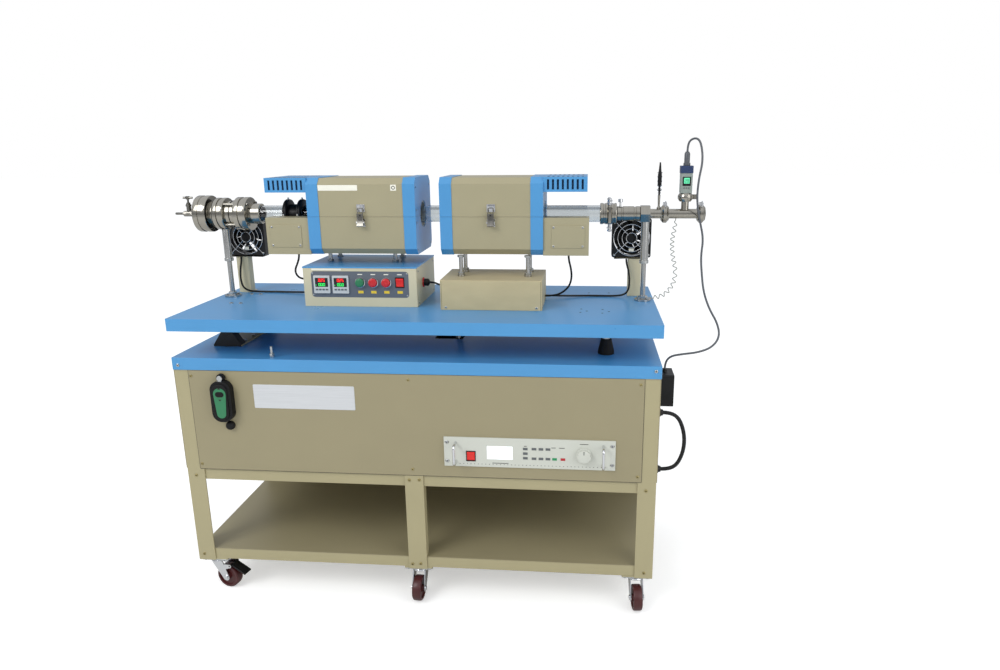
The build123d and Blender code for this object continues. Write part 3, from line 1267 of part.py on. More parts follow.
def kf_clamp(x, radius=27.0, width=18.0):
    """Hinged clamp ring on the outlet line, with its wing screw."""
    ring = turned("X", (TUBE_Y, TUBE_Z), [(LINE_RADIUS, x - width / 2), (radius - 5, x - width / 2),
                                          (radius, x - width / 4), (radius, x + width / 4),
                                          (radius - 5, x + width / 2), (LINE_RADIUS, x + width / 2)])
    screw = rod("Y", (x, TUBE_Z + radius), 3, TUBE_Y - 20, TUBE_Y + 14)
    lug = block((x - 6, x + 6), (TUBE_Y - 9, TUBE_Y + 9), (TUBE_Z + radius - 6, TUBE_Z + radius + 5))
    wing = fuse(
        rod("Y", (x, TUBE_Z + radius), 5, TUBE_Y - 22, TUBE_Y - 13),
        block((x - 12, x + 12), (TUBE_Y - 20, TUBE_Y - 17), (TUBE_Z + radius - 3, TUBE_Z + radius + 6)),
    )
    return fuse(ring, lug, screw, wing)


def outlet_line():
    """Right seal, its clamp plate, the valve block, the branched vacuum pipe and its clamps."""
    bore = TUBE_RADIUS + SEAL_GAP
    axis = (TUBE_Y, TUBE_Z)
    rings = [seal_ring(*ring, bore) for ring in OUTLET_RINGS]
    yoke = prism(Pos(*axis) * (RectangleRounded(*YOKE_SIZE, 6) - Circle(bore)), "X", *YOKE_X)
    bolts = [rod("Z", (sum(YOKE_X) / 2, TUBE_Y + y), 3.5, TUBE_Z - 50, TUBE_Z + 46) for y in (-36, 36)]
    body = seal_ring(*OUTLET_BODY, LINE_BORE)
    screw_x = OUTLET_BODY[0] + 11
    thumb = fuse(
        rod("Z", (screw_x, TUBE_Y), 3, TUBE_Z + OUTLET_BODY[2] - 6, TUBE_Z + 34),
        rod("Z", (screw_x, TUBE_Y), 7, TUBE_Z + 34, TUBE_Z + 43),
    )
    six_sides = RegularPolygon(OUTLET_BLOCK[2], 6, major_radius=False) - Circle(LINE_BORE)
    hexagon = prism(Pos(*axis) * six_sides, "X", *OUTLET_BLOCK[:2])
    line = pipe("X", axis, LINE_RADIUS, LINE_BORE, OUTLET_BLOCK[1], LINE_END)
    branch_top = TUBE_Z + 36
    branch = pipe("Z", (GAUGE_X, TUBE_Y), 11, 8, TUBE_Z + 8, branch_top)
    branch -= rod("X", axis, LINE_RADIUS, GAUGE_X - 20, GAUGE_X + 20)
    flange = turned("Z", (GAUGE_X, TUBE_Y), [(8, branch_top), (17, branch_top), (22, branch_top + 8),
                                             (22, branch_top + 16), (17, branch_top + 24),
                                             (8, branch_top + 24)])
    wing = block((GAUGE_X + 20, GAUGE_X + 34), (TUBE_Y - 3, TUBE_Y + 3),
                 (branch_top + 6, branch_top + 20))
    clamps = [kf_clamp(711), kf_clamp(LINE_END - 13)]
    probe_x = 693.0
    probe = turned("Z", (probe_x, TUBE_Y), [(0, TUBE_Z + LINE_RADIUS - 2),
                                            (6, TUBE_Z + LINE_RADIUS - 2),
                                            (4, TUBE_Z + 50), (3, TUBE_Z + 80), (6, TUBE_Z + 90),
                                            (6, TUBE_Z + 112),
                                            (2, TUBE_Z + 148), (0, TUBE_Z + 148)])
    probe -= rod("X", axis, LINE_RADIUS, probe_x - 10, probe_x + 10)
    plate = fuse(yoke, *bolts)
    valve = fuse(body, thumb)
    stem = fuse(flange, wing)
    return group(*rings, plate, valve, hexagon, line, branch, stem, *clamps, probe)


def gauge():
    """Vacuum gauge: display body, head band and cable connector."""
    base = TUBE_Z + 60
    bands = ((base, base + 57, 34.0), (base + 57, base + 78, 36.0))
    pieces = [
        prism(Pos(GAUGE_X, TUBE_Y) * RectangleRounded(width, width, 4), "Z", low, high)
        for low, high, width in bands
    ]
    top = base + 78
    plug = turned("Z", (GAUGE_X, TUBE_Y), [(0, top), (10, top), (10, top + 8), (8, top + 8),
                                           (8, top + 34),
                                           (5, top + 40), (0, top + 40)])
    return group(*pieces, plug)


# ---------------------------------------------------------------- fans


def fan_frame(x):
    """Square fan frame with its rear spider, and the wire guard on its front."""
    back = FAN_FRONT_Y + FAN_DEPTH
    centre = Pos(x, FAN_Z)
    frame = prism(centre * (RectangleRounded(FAN_SIZE, FAN_SIZE, 6) - Circle(FAN_BORE)), "Y",
                  FAN_FRONT_Y, back)
    arm = Pos(38, 0) * Rectangle(40, 7)
    arms = Sketch() + [centre * Rot(0, 0, 45 + 90 * i) * arm for i in range(4)]
    spider = fuse(prism(arms, "Y", back - 4, back), rod("Y", (x, FAN_Z), FAN_HUB, back - 4, back))
    bearing = rod("Y", (x, FAN_Z), 2.5 + RUNNING_GAP, back - 4, back)
    guard_back = FAN_FRONT_Y
    rings = Sketch() + [
        centre * (Circle(r + GUARD_WIRE / 2) - Circle(r - GUARD_WIRE / 2)) for r in GUARD_RINGS
    ]
    legs = Sketch() + [
        centre * Rot(0, 0, 45 + 90 * i) * Pos(44, 0) * Rectangle(64, GUARD_WIRE) for i in range(4)
    ]
    guard = fuse(
        prism(rings, "Y", guard_back - 2 * GUARD_WIRE, guard_back - GUARD_WIRE),
        prism(legs, "Y", guard_back - 2 * GUARD_WIRE, guard_back),
    )
    return [fuse(frame, spider) - bearing, guard]


def fan_post(fan_x, post_x):
    """Bent sheet post with the plate that the fan stands on."""
    back = FAN_FRONT_Y + FAN_DEPTH
    plate_z = (FAN_Z - FAN_SIZE / 2 - FAN_PLATE, FAN_Z - FAN_SIZE / 2)
    half = FAN_SIZE / 2 - 8
    plate = block((fan_x - half, fan_x + half), (FAN_FRONT_Y - 4, back + 4), plate_z)
    middle = (FAN_FRONT_Y + back) / 2
    outer = Pos(post_x, middle) * Rectangle(FAN_POST_WIDTH, FAN_POST_DEPTH)
    inner = Pos(post_x, middle + SHEET) * Rectangle(FAN_POST_WIDTH - 2 * SHEET, FAN_POST_DEPTH)
    post = prism(outer - inner, "Z", TABLE_Z, plate_z[0])
    foot = block(
        (post_x - FAN_POST_WIDTH / 2, post_x + FAN_POST_WIDTH / 2),
        (middle - FAN_POST_DEPTH / 2, middle + FAN_POST_DEPTH / 2 + 14),
        (TABLE_Z, TABLE_Z + SHEET),
    )
    return fuse(plate, post, foot)


def fans():
    """Both fans on their posts."""
    pieces = []
    for fan_x, post_x in zip(FAN_X, FAN_POST_X):
        pieces += fan_frame(fan_x)
        pieces.append(fan_post(fan_x, post_x))
    return group(*pieces)


def impeller(x):
    """Moulded impeller: hub cup and twisted blades on a shaft."""
    front = FAN_FRONT_Y + 4
    back = FAN_FRONT_Y + FAN_DEPTH - 4 - SEAT_GAP
    hub = rod("Y", (0, 0), FAN_HUB, front, back)
    blades = []
    depth = back - front - 4
    for i in range(FAN_BLADES):
        root = Plane(origin=(FAN_HUB - 1, 0, 0), x_dir=(0, 1, 0), z_dir=(1, 0, 0))
        tip = Plane(origin=(FAN_BORE - 2, 0, 0), x_dir=(0, 1, 0), z_dir=(1, 0, 0))
        blade = loft([root * Rot(0, 0, 32) * Rectangle(depth, 2),
                      tip * Rot(0, 0, 55) * Rectangle(depth, 2)])
        blades.append(Rot(0, 360 / FAN_BLADES * i, 0) * Pos(0, (front + back) / 2, 0) * blade)
    shaft = rod("Y", (0, 0), 2.5, back - 1, FAN_FRONT_Y + FAN_DEPTH)
    return Pos(x, 0, FAN_Z) * fuse(hub, *blades, shaft)


# ---------------------------------------------------------------- cables


def tube_along(points, radius):
    """Cable along straight runs joined by tangent arcs, as large as the runs beside each corner allow."""
    at = [Vector(*point) for point in points]
    bends = []
    for before, corner, after in zip(at, at[1:], at[2:]):
        turn = math.radians((corner - before).get_angle(after - corner))
        run = min((corner - before).length, (after - corner).length)
        bends.append(0.45 * run / math.tan(turn / 2))
    path = FilletPolyline(*points, radius=bends)
    cable = sweep(Plane(origin=path @ 0, z_dir=path % 0) * Circle(radius), path)
    drawn = path.length * math.pi * radius**2
    ratio = cable.volume / drawn
    print(f"cable length {path.length:.0f}, tightest {min(bends):.0f}, volume ratio {ratio:.4f}")
    return cable


# Hand-placed routes. The vacuum gauge's cord loops over its head and hangs down to the adapter box.
GAUGE_CORD = (
    (769, 40, 1306), (769, 40, 1324), (774, 36, 1347), (793, 19, 1353), (806, 8, 1334),
    (808, -4, 1280), (797, -12, 1226), (795, -14, 1168), (806, -18, 1112), (818, -24, 1062),
    (812, -32, 1012), (816, -41, 962), (822, -52, 912), (838, -66, 866), (862, -82, 826),
    (868, -98, 790), (846, -112, 762), (806, -119, 748), (764, -124, 744), (727, -126, 738),
    (713, -125, 718), (713, -125, 699),
)
# The coiled cord falls from the pipe and ends on the table beside the right post.
CURLY_CORD = (
    (744, 40, 1113.5), (744, 40, 1090), (735, 33, 1052), (737, 23, 1008), (748, 14, 966), (744, 6, 926),
    (722, -2, 896), (694, -6, 884), (668, -2, 882),
)
# Both ends of the heavy cable go into the right side of the cabinet.
SIDE_LOOP = (
    (701, -235, 606), (721, -235, 606), (745, -237, 592), (759, -240, 556), (763, -241, 521),
    (759, -240, 486), (745, -237, 450), (721, -235, 436), (701, -235, 436),
)
LEFT_FAN_CABLE = (
    (-636, 99, 984), (-636, 99, 970), (-640, 92, 944), (-641, 89, 908), (-634, 90, 882),
    (-614, 96, 871), (-578, 102, 868.9), (-530, 104, 868.7), (-480, 98, 869.2),
    (-430, 88, 871), (-386, 80, 874), (-355, 80, 874),
)
RIGHT_FAN_CABLE = (
    (606, 98, 984), (606, 98, 972), (613, 86, 950), (617, 79, 918), (614, 79, 888), (600, 82, 873),
    (566, 86, 869), (520, 90, 868.7), (474, 86, 869.2), (430, 72, 871), (390, 54, 875), (358, 54, 875),
)
TERMINAL_CABLE = (
    (430, -20, 1016), (430, -20, 1000), (437, -17, 974), (440, -10, 946), (434, 0, 918), (416, 10, 896),
    (388, 20, 881), (358, 20, 881),
)
LINK_CABLE = ((8, -10, 925.5), (20, -10, 925.5), (35, -13, 920), (50, -14, 916), (62, -14, 916))
FURNACE_LEAD = (
    (-392, -20, 1016), (-392, -20, 1003), (-397, -24, 984), (-405, -28, 966),
    (-402, -32, 950), (-385, -35, 936), (-355, -35, 936),
)


def table_leads():
    """Fan, terminal and furnace leads that stay on the table."""
    routes = (LEFT_FAN_CABLE, RIGHT_FAN_CABLE, TERMINAL_CABLE, LINK_CABLE, FURNACE_LEAD)
    return group(*[tube_along(route, CABLE_RADIUS) for route in routes])


# ---------------------------------------------------------------- all nodes


def nodes():
    """Every node of the furnace, by name."""
    made = {
        "cart_frame": cart_frame(),
        "body_panels": body_panels(),
        "front_panel": front_panel(),
        "lower_top": lower_top(),
        "rf_generator": rf_generator(),
        "generator_knob": generator_knob(),
        "generator_rocker": rocker(GENERATOR_ROCKER, ROCKER_WIDTH, ROCKER_HEIGHT),
        "pendant_case": pendant_case(),
        "pendant_key": pendant_key(),
        "side_fittings": side_fittings(),
        "caster_plates": caster_plates(),
        "tilt_supports": tilt_supports(),
        "actuator_body": actuator_body(),
        "actuator_rod": actuator_rod(),
        "tilt_table": tilt_table(),
        "table_brackets": table_brackets(),
        "control_box": control_box(),
        "control_panel": control_panel(),
        "temperature_controllers": temperature_controllers(),
        "start_button": push_button(BUTTON_X[0]),
        "stop_button": push_button(BUTTON_X[1]),
        "reset_button": push_button(BUTTON_X[2]),
        "power_switch": rocker(SWITCH_PIVOT, SWITCH_WIDTH, SWITCH_HEIGHT),
        "pedestal": pedestal(),
        "steel_posts": steel_posts(),
        "furnace_cases": furnace_cases(),
        "lower_insulation": group(half_insulation(LEFT_FURNACE, -1),
                                  half_insulation(RIGHT_FURNACE, -1)),
        "terminal_boxes": group(*terminal_box(LEFT_FURNACE[0], -1), *terminal_box(RIGHT_FURNACE[1], 1)),
        "left_lid": furnace_lid(LEFT_FURNACE, LEFT_FURNACE[0], -1),
        "left_lid_insulation": half_insulation(LEFT_FURNACE, 1),
        "right_lid": furnace_lid(RIGHT_FURNACE, RIGHT_FURNACE[1], 1),
        "right_lid_insulation": half_insulation(RIGHT_FURNACE, 1),
        "left_latch": latch(LEFT_FURNACE),
        "right_latch": latch(RIGHT_FURNACE),
        "quartz_tube": quartz_tube(),
        "rf_electrode": rf_electrode(),
        "inlet_seal": inlet_seal(),
        "valve_handle": valve_handle(),
        "outlet_line": outlet_line(),
        "gauge": gauge(),
        "fans": fans(),
        "left_impeller": impeller(FAN_X[0]),
        "right_impeller": impeller(FAN_X[1]),
        "gauge_cord": tube_along(GAUGE_CORD, CABLE_RADIUS),
        "curly_cord": tube_along(CURLY_CORD, CURL_RADIUS),
        "side_loop": tube_along(SIDE_LOOP, LOOP_RADIUS),
        "table_leads": table_leads(),
    }
    for name in CASTERS:
        fork = caster_fork()
        if name == "front_left":
            fork = fuse(fork, pedal_ears())
            made["brake_pedal"] = seat_caster(name, brake_pedal())
        made[f"{name}_fork"] = seat_caster(name, fork)
        made[f"{name}_wheel"] = seat_caster(name, caster_wheel())
    return made


os.makedirs("parts", exist_ok=True)
for node, shape in nodes().items():
    export_step(shape, f"parts/{node}.step")
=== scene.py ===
import json

import bmesh
import bpy
import numpy as np
from mathutils import Matrix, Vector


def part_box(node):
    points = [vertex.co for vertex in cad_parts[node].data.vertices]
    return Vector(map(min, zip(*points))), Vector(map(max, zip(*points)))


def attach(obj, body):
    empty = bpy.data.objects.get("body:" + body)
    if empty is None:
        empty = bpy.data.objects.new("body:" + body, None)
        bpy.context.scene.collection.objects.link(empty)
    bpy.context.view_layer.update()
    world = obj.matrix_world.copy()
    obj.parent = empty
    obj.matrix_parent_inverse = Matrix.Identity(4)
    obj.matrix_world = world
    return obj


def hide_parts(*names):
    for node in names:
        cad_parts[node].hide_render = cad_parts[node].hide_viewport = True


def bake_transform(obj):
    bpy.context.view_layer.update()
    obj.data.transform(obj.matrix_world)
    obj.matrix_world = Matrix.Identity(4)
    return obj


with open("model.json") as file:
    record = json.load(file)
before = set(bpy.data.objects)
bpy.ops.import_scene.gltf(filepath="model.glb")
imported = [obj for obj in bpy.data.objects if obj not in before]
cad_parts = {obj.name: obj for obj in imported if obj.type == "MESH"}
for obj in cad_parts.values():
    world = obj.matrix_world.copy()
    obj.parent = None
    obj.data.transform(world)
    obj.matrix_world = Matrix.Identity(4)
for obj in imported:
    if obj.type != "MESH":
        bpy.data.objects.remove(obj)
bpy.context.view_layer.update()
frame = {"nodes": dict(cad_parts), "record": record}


# ---- The room: a pale seamless floor, an even white sky and two large soft lamps.
# The floor is matt paper that keeps the cart's shadow and shows white to the camera away from it.
CAMERA_PLACE = (0.4826, -2.1513, 1.3243)
CAMERA_YAW, CAMERA_PITCH, CAMERA_ROLL = np.radians((-5.200, -14.709, -0.464))
FOCAL_LENGTH = 26.035
SENSOR = 36.0
SHIFT = (-0.0216, 0.0011)
FLOOR_COLOUR = "#E9E9E7"
FLOOR_GLOW = 0.43
FLOOR_SIZE = 60.0
SKY_LEVEL = 0.80
SKY_COLOUR = "#F6F9FF"
MIRRORED_HORIZON = 0.22
KEY = {"place": (-2.4, -3.0, 3.6), "size": 2.2, "power": 84.0}
FILL = {"place": (2.8, -2.0, 1.9), "size": 2.4, "power": 30.0}
AIM = (0.0, 0.0, 0.75)


def linear(colour):
    """A colour written as sRGB hex, as the linear values that a shader takes."""
    value = np.array([int(colour[i : i + 2], 16) for i in (1, 3, 5)]) / 255
    value = np.where(value <= 0.04045, value / 12.92, ((value + 0.055) / 1.055) ** 2.4)
    return (*value.tolist(), 1.0)


def add(tree, kind, settings=None, links=None):
    """Adds one shader node. Settings in lower case are its own and the others are its sockets' values;
    links feed its sockets from other nodes."""
    made = tree.nodes.new(kind)
    for key, value in (settings or {}).items():
        if isinstance(key, str) and key[0].islower():
            setattr(made, key, value)
        else:
            made.inputs[key].default_value = value
    for key, source in (links or {}).items():
        tree.links.new(source, made.inputs[key])
    return made


def new_material(name):
    """An empty node material and its tree."""
    material = bpy.data.materials.new(name)
    material.use_nodes = True
    material.node_tree.nodes.clear()
    return material, material.node_tree


def aim(target, place):
    """Turns an object at place so that its -Z looks at target, with the room's up upwards."""
    ahead = np.array(target) - np.array(place)
    ahead = ahead / np.linalg.norm(ahead)
    across = np.cross(ahead, (0, 0, 1))
    across = across / np.linalg.norm(across)
    return Matrix(np.column_stack([across, np.cross(across, ahead), -ahead]).tolist())


camera = bpy.data.objects.new("camera", bpy.data.cameras.new("camera"))
bpy.context.scene.collection.objects.link(camera)
bpy.context.scene.camera = camera
camera.data.lens = FOCAL_LENGTH
camera.data.sensor_width = SENSOR
camera.data.shift_x, camera.data.shift_y = SHIFT
camera.data.clip_start, camera.data.clip_end = 0.05, 120.0
ahead = np.array(
    [
        np.sin(CAMERA_YAW) * np.cos(CAMERA_PITCH),
        np.cos(CAMERA_YAW) * np.cos(CAMERA_PITCH),
        np.sin(CAMERA_PITCH),
    ]
)
level = np.array([np.cos(CAMERA_YAW), -np.sin(CAMERA_YAW), 0.0])
upright = np.cross(level, ahead)
right = np.cos(CAMERA_ROLL) * level + np.sin(CAMERA_ROLL) * upright
up = np.cos(CAMERA_ROLL) * upright - np.sin(CAMERA_ROLL) * level
turned_to = Matrix(np.column_stack([right, up, -ahead]).tolist()).to_4x4()
camera.matrix_world = Matrix.Translation(CAMERA_PLACE) @ turned_to

for name, lamp in (("key", KEY), ("fill", FILL)):
    light = bpy.data.lights.new(name, "AREA")
    light.size = lamp["size"]
    light.energy = lamp["power"]
    holder = bpy.data.objects.new(name, light)
    bpy.context.scene.collection.objects.link(holder)
    holder.matrix_world = Matrix.Translation(lamp["place"]) @ aim(AIM, lamp["place"]).to_4x4()

world = bpy.data.worlds.new("sky")
bpy.context.scene.world = world
world.use_nodes = True
tree = world.node_tree
tree.nodes.clear()
path = add(tree, "ShaderNodeLightPath")
seen = add(
    tree,
    "ShaderNodeMath",
    {"operation": "MAXIMUM"},
    {0: path.outputs["Is Camera Ray"], 1: path.outputs["Is Transmission Ray"]},
)
direction = add(tree, "ShaderNodeTexCoord")
height = add(tree, "ShaderNodeSeparateXYZ", None, {0: direction.outputs["Generated"]})
mirrored = add(
    tree,
    "ShaderNodeMapRange",
    {"From Min": -0.1, "From Max": 0.75, "To Min": MIRRORED_HORIZON, "To Max": 1.0},
    {"Value": height.outputs["Z"]},
)
even = add(tree, "ShaderNodeMapRange", {"To Min": SKY_LEVEL, "To Max": 1.0}, {"Value": seen.outputs[0]})
strength = add(
    tree,
    "ShaderNodeMix",
    None,
    {0: path.outputs["Is Glossy Ray"], 2: even.outputs[0], 3: mirrored.outputs[0]},
)
tint = add(
    tree,
    "ShaderNodeMix",
    {"data_type": "RGBA", 6: linear(SKY_COLOUR), 7: (1, 1, 1, 1)},
    {0: path.outputs["Is Camera Ray"]},
)
sky = add(tree, "ShaderNodeBackground", None, {"Color": tint.outputs[2], "Strength": strength.outputs[0]})
add(tree, "ShaderNodeOutputWorld", None, {"Surface": sky.outputs[0]})

bpy.ops.mesh.primitive_plane_add(size=FLOOR_SIZE)
floor = bpy.context.object
floor.name = "floor"
paper, tree = new_material("matt paper floor")
path = add(tree, "ShaderNodeLightPath")
glow = add(
    tree, "ShaderNodeMath", {"operation": "MULTIPLY", 1: FLOOR_GLOW}, {0: path.outputs["Is Camera Ray"]}
)
glowing = add(tree, "ShaderNodeEmission", {"Color": (1, 1, 1, 1)}, {"Strength": glow.outputs[0]})
shade = add(tree, "ShaderNodeBsdfDiffuse", {"Color": linear(FLOOR_COLOUR)})
both = add(tree, "ShaderNodeAddShader", None, {0: shade.outputs[0], 1: glowing.outputs[0]})
add(tree, "ShaderNodeOutputMaterial", None, {"Surface": both.outputs[0]})
floor.data.materials.append(paper)
bpy.context.scene.view_settings.view_transform = "Standard"


# ---- Cords: the gauge's lead, its coiled lead, the heavy loop on the cabinet's side and the thin
# leads on the table. They are PVC-sheathed flex, black or grey; the coiled one is polyurethane.
MM = 0.001
GAUGE_CORD = (
    (769, 40, 1306), (769, 40, 1322), (775, 35, 1339), (792, 20, 1344), (803, 10, 1328),
    (808, -4, 1280), (797, -12, 1226), (795, -14, 1168), (806, -18, 1112), (818, -24, 1062),
    (812, -32, 1012), (816, -41, 962), (822, -52, 912), (838, -66, 866), (862, -82, 826),
    (868, -98, 790), (846, -112, 762), (806, -119, 748), (764, -124, 744), (727, -126, 738),
    (713, -125, 718), (713, -125, 699),
)
CURLY_CORD = (
    (744, 40, 1113.5), (744, 40, 1090), (735, 33, 1052), (737, 23, 1008), (748, 14, 966), (744, 6, 926),
    (722, -2, 896), (694, -6, 884), (668, -2, 882),
)
SIDE_LOOP = (
    (701, -235, 606), (721, -235, 606), (745, -237, 592), (759, -240, 556), (763, -241, 521),
    (759, -240, 486), (745, -237, 450), (721, -235, 436), (701, -235, 436),
)
LEFT_FAN_CABLE = (
    (-636, 99, 984), (-636, 99, 970), (-640, 92, 944), (-641, 89, 908), (-634, 90, 882),
    (-614, 96, 871), (-578, 102, 868.9), (-530, 104, 868.7), (-480, 98, 869.2),
    (-430, 88, 871), (-386, 80, 874), (-355, 80, 874),
)
RIGHT_FAN_CABLE = (
    (606, 98, 984), (606, 98, 972), (613, 86, 950), (617, 79, 918), (614, 79, 888), (600, 82, 873),
    (566, 86, 869), (520, 90, 868.7), (474, 86, 869.2), (430, 72, 871), (390, 54, 875), (358, 54, 875),
)
TERMINAL_CABLE = (
    (430, -20, 1016), (430, -20, 1000), (437, -17, 974), (440, -10, 946), (434, 0, 918), (416, 10, 896),
    (388, 20, 881), (358, 20, 881),
)
LINK_CABLE = ((8, -10, 925.5), (20, -10, 925.5), (35, -13, 920), (50, -14, 916), (62, -14, 916))
FURNACE_LEAD = (
    (-392, -20, 1016), (-392, -20, 1003), (-397, -24, 984), (-405, -28, 966),
    (-402, -32, 950), (-385, -35, 936), (-355, -35, 936),
)
CORD_SIDES = 12
LEAD_RADIUS = 3.0
LOOP_RADIUS = 5.5
CURL_WIRE = 1.3
CURL_RADIUS = 5.6
CURL_TURNS = 17
CURL_STEPS = 12
CURL_FADE = 14
BODY_OF = {node: body for body, nodes in frame["record"]["behaviour"]["bodies"].items() for node in nodes}


def finish(name, colour, roughness, metallic=0.0, tone=0.05, patch=60.0, grain=1.2, relief=0.01, **more):
    """Principled finish of a real surface. Slow noise, patch mm across, shifts the colour by tone and the
    roughness by a fifth; fine noise, grain mm across, stands relief mm proud. Sizes along X, Y and Z may
    differ, as where a surface is brushed or turned. The rest goes to the shader's own sockets."""
    material, tree = new_material(name)
    place = add(tree, "ShaderNodeTexCoord")
    noises = []
    for size, detail in ((patch, 4.0), (grain, 2.0)):
        across = np.broadcast_to(np.array(size, float) * MM, 3)
        placed = add(
            tree, "ShaderNodeMapping", {"Scale": (1 / across).tolist()}, {"Vector": place.outputs["Object"]}
        )
        noises.append(
            add(tree, "ShaderNodeTexNoise", {"Scale": 1.0, "Detail": detail}, {"Vector": placed.outputs[0]})
        )
    base = np.array(linear(colour)[:3])
    low, high = (np.clip(base * (1 + side * tone), 0, 1).tolist() for side in (-2, 2))
    mixed = add(
        tree, "ShaderNodeMix", {"data_type": "RGBA", 6: (*low, 1), 7: (*high, 1)}, {0: noises[0].outputs[0]}
    )
    gloss = add(
        tree,
        "ShaderNodeMapRange",
        {"To Min": roughness * 0.8, "To Max": min(roughness * 1.2, 1)},
        {"Value": noises[0].outputs[0]},
    )
    bump = add(tree, "ShaderNodeBump", {"Distance": relief * MM}, {"Height": noises[1].outputs[0]})
    shader = add(
        tree,
        "ShaderNodeBsdfPrincipled",
        {"Metallic": metallic, **more},
        {"Base Color": mixed.outputs[2], "Roughness": gloss.outputs[0], "Normal": bump.outputs[0]},
    )
    add(tree, "ShaderNodeOutputMaterial", None, {"Surface": shader.outputs[0]})
    return material


def settle(made, body, replaced, ease, smooth):
    """Body, shading and eased edges of a finished piece, with the parts it replaces hidden. Sizes in mm,
    smooth in degrees.
    """
    if made.type == "MESH":
        made.data.shade_smooth()
        made.data.set_sharp_from_angle(angle=np.radians(smooth))
    if ease:
        bevel = made.modifiers.new("eased edges", "BEVEL")
        bevel.width = ease * MM
        bevel.segments = 2
        bevel.limit_method = "ANGLE"
        bevel.angle_limit = np.radians(smooth)
        bevel.harden_normals = True
    if body:
        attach(made, body)
    if replaced:
        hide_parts(*replaced)
    return made


def strand(name, lines, radius, material, body, replaced=(), smooth=True, closed=False):
    """Round wire or cord along lines in metres: a NURBS of order 3 where smooth, else straight runs."""
    curve = bpy.data.curves.new(name, "CURVE")
    curve.dimensions = "3D"
    curve.bevel_depth = radius * MM
    curve.bevel_resolution = 4
    curve.resolution_u = 8
    curve.use_fill_caps = True
    curve.materials.append(material)
    for line in lines:
        spline = curve.splines.new("NURBS" if smooth else "POLY")
        spline.points.add(len(line) - 1)
        spline.points.foreach_set("co", np.column_stack([line, np.ones(len(line))]).ravel())
        spline.use_cyclic_u = closed
        if smooth:
            spline.order_u = 3
            spline.use_endpoint_u = not closed
    made = bpy.data.objects.new(name, curve)
    bpy.context.scene.collection.objects.link(made)
    return settle(made, body, replaced, 0, 0)


def smooth_line(points):
    """Points along the smooth line of a route in metres, read from its own NURBS."""
    guide = strand("guide", [points], 0, pvc, None)
    drawn = bpy.data.meshes.new_from_object(guide.evaluated_get(bpy.context.evaluated_depsgraph_get()))
    line = np.empty(len(drawn.vertices) * 3)
    drawn.vertices.foreach_get("co", line)
    bpy.data.objects.remove(guide)
    bpy.data.meshes.remove(drawn)
    return line.reshape(-1, 3)


def carried_frame(line):
    """Two unit directions across a line at each of its points, which turn as little as the line does."""
    along = np.gradient(line, axis=0)
    side = np.cross(along, (0.0, 0.3, 1.0))
    side = side / np.linalg.norm(side, axis=1)[:, None]
    other = np.cross(along, side)
    return side, other / np.linalg.norm(other, axis=1)[:, None]


def grid_faces(rows, columns, wrap_rows=False):
    """Quads of a grid of points whose columns join end to start, and its rows too where it wraps."""
    row = np.arange(rows if wrap_rows else rows - 1)[:, None]
    column = np.arange(columns)[None, :]
    below, beside = (row + 1) % rows, (column + 1) % columns
    corners = [
        row * columns + column,
        row * columns + beside,
        below * columns + beside,
        below * columns + column,
    ]
    return np.stack([np.broadcast_to(corner, (row.size, columns)) for corner in corners], -1).reshape(-1, 4)


def solid(name, layers, body, replaced=(), ease=0.0, smooth=40):
    """One piece from layers of (material, shapes); a shape is its points in mm and its faces. Doubled
    points are merged, and settle() gives it eased edges and smooth shading."""
    mesh = bpy.data.meshes.new(name)
    points, faces, finishes, start = [], [], [], 0
    for index, (material, shapes) in enumerate(layers):
        mesh.materials.append(material)
        for shape_points, shape_faces in shapes:
            points.append(np.asarray(shape_points, float) * MM)
            faces += [[start + int(corner) for corner in face] for face in shape_faces]
            finishes += [index] * len(shape_faces)
            start += len(shape_points)
    mesh.from_pydata(np.concatenate(points), [], faces)
    mesh.polygons.foreach_set("material_index", finishes)
    made = bpy.data.objects.new(name, mesh)
    bpy.context.scene.collection.objects.link(made)
    work = bmesh.new()
    work.from_mesh(mesh)
    bmesh.ops.remove_doubles(work, verts=work.verts, dist=1e-7)
    bmesh.ops.dissolve_degenerate(work, edges=work.edges, dist=1e-7)
    bmesh.ops.recalc_face_normals(work, faces=work.faces)
    work.to_mesh(mesh)
    work.free()
    return settle(made, body, replaced, ease, smooth)


# Extruded PVC is satin, with a soft highlight along the cord; polyurethane is glossier and cleaner.
DULL = {"Specular IOR Level": 0.35}
pvc = finish("black pvc sheath", "#0F0F10", 0.42, tone=0.1, patch=20, grain=0.8, relief=0.008, **DULL)
grey_pvc = finish("grey pvc sheath", "#55585C", 0.42, tone=0.06, patch=20, grain=0.8, relief=0.008)
curl_sheath = finish(
    "pale grey polyurethane sheath", "#9A9C92", 0.36, tone=0.06, patch=20, grain=0.6, relief=0.005
)

line = smooth_line(np.array(GAUGE_CORD) * MM)
side, other = carried_frame(line)
turn = np.linspace(0, 2 * np.pi, CORD_SIDES, endpoint=False)[None, :, None]
ring = line[:, None] / MM + LEAD_RADIUS * (np.cos(turn) * side[:, None] + np.sin(turn) * other[:, None])
sheath = (ring.reshape(-1, 3), grid_faces(len(line), CORD_SIDES))
gauge_cord = solid("gauge_cord_sheath", [(grey_pvc, [sheath])], None, ["gauge_cord"])
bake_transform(gauge_cord)

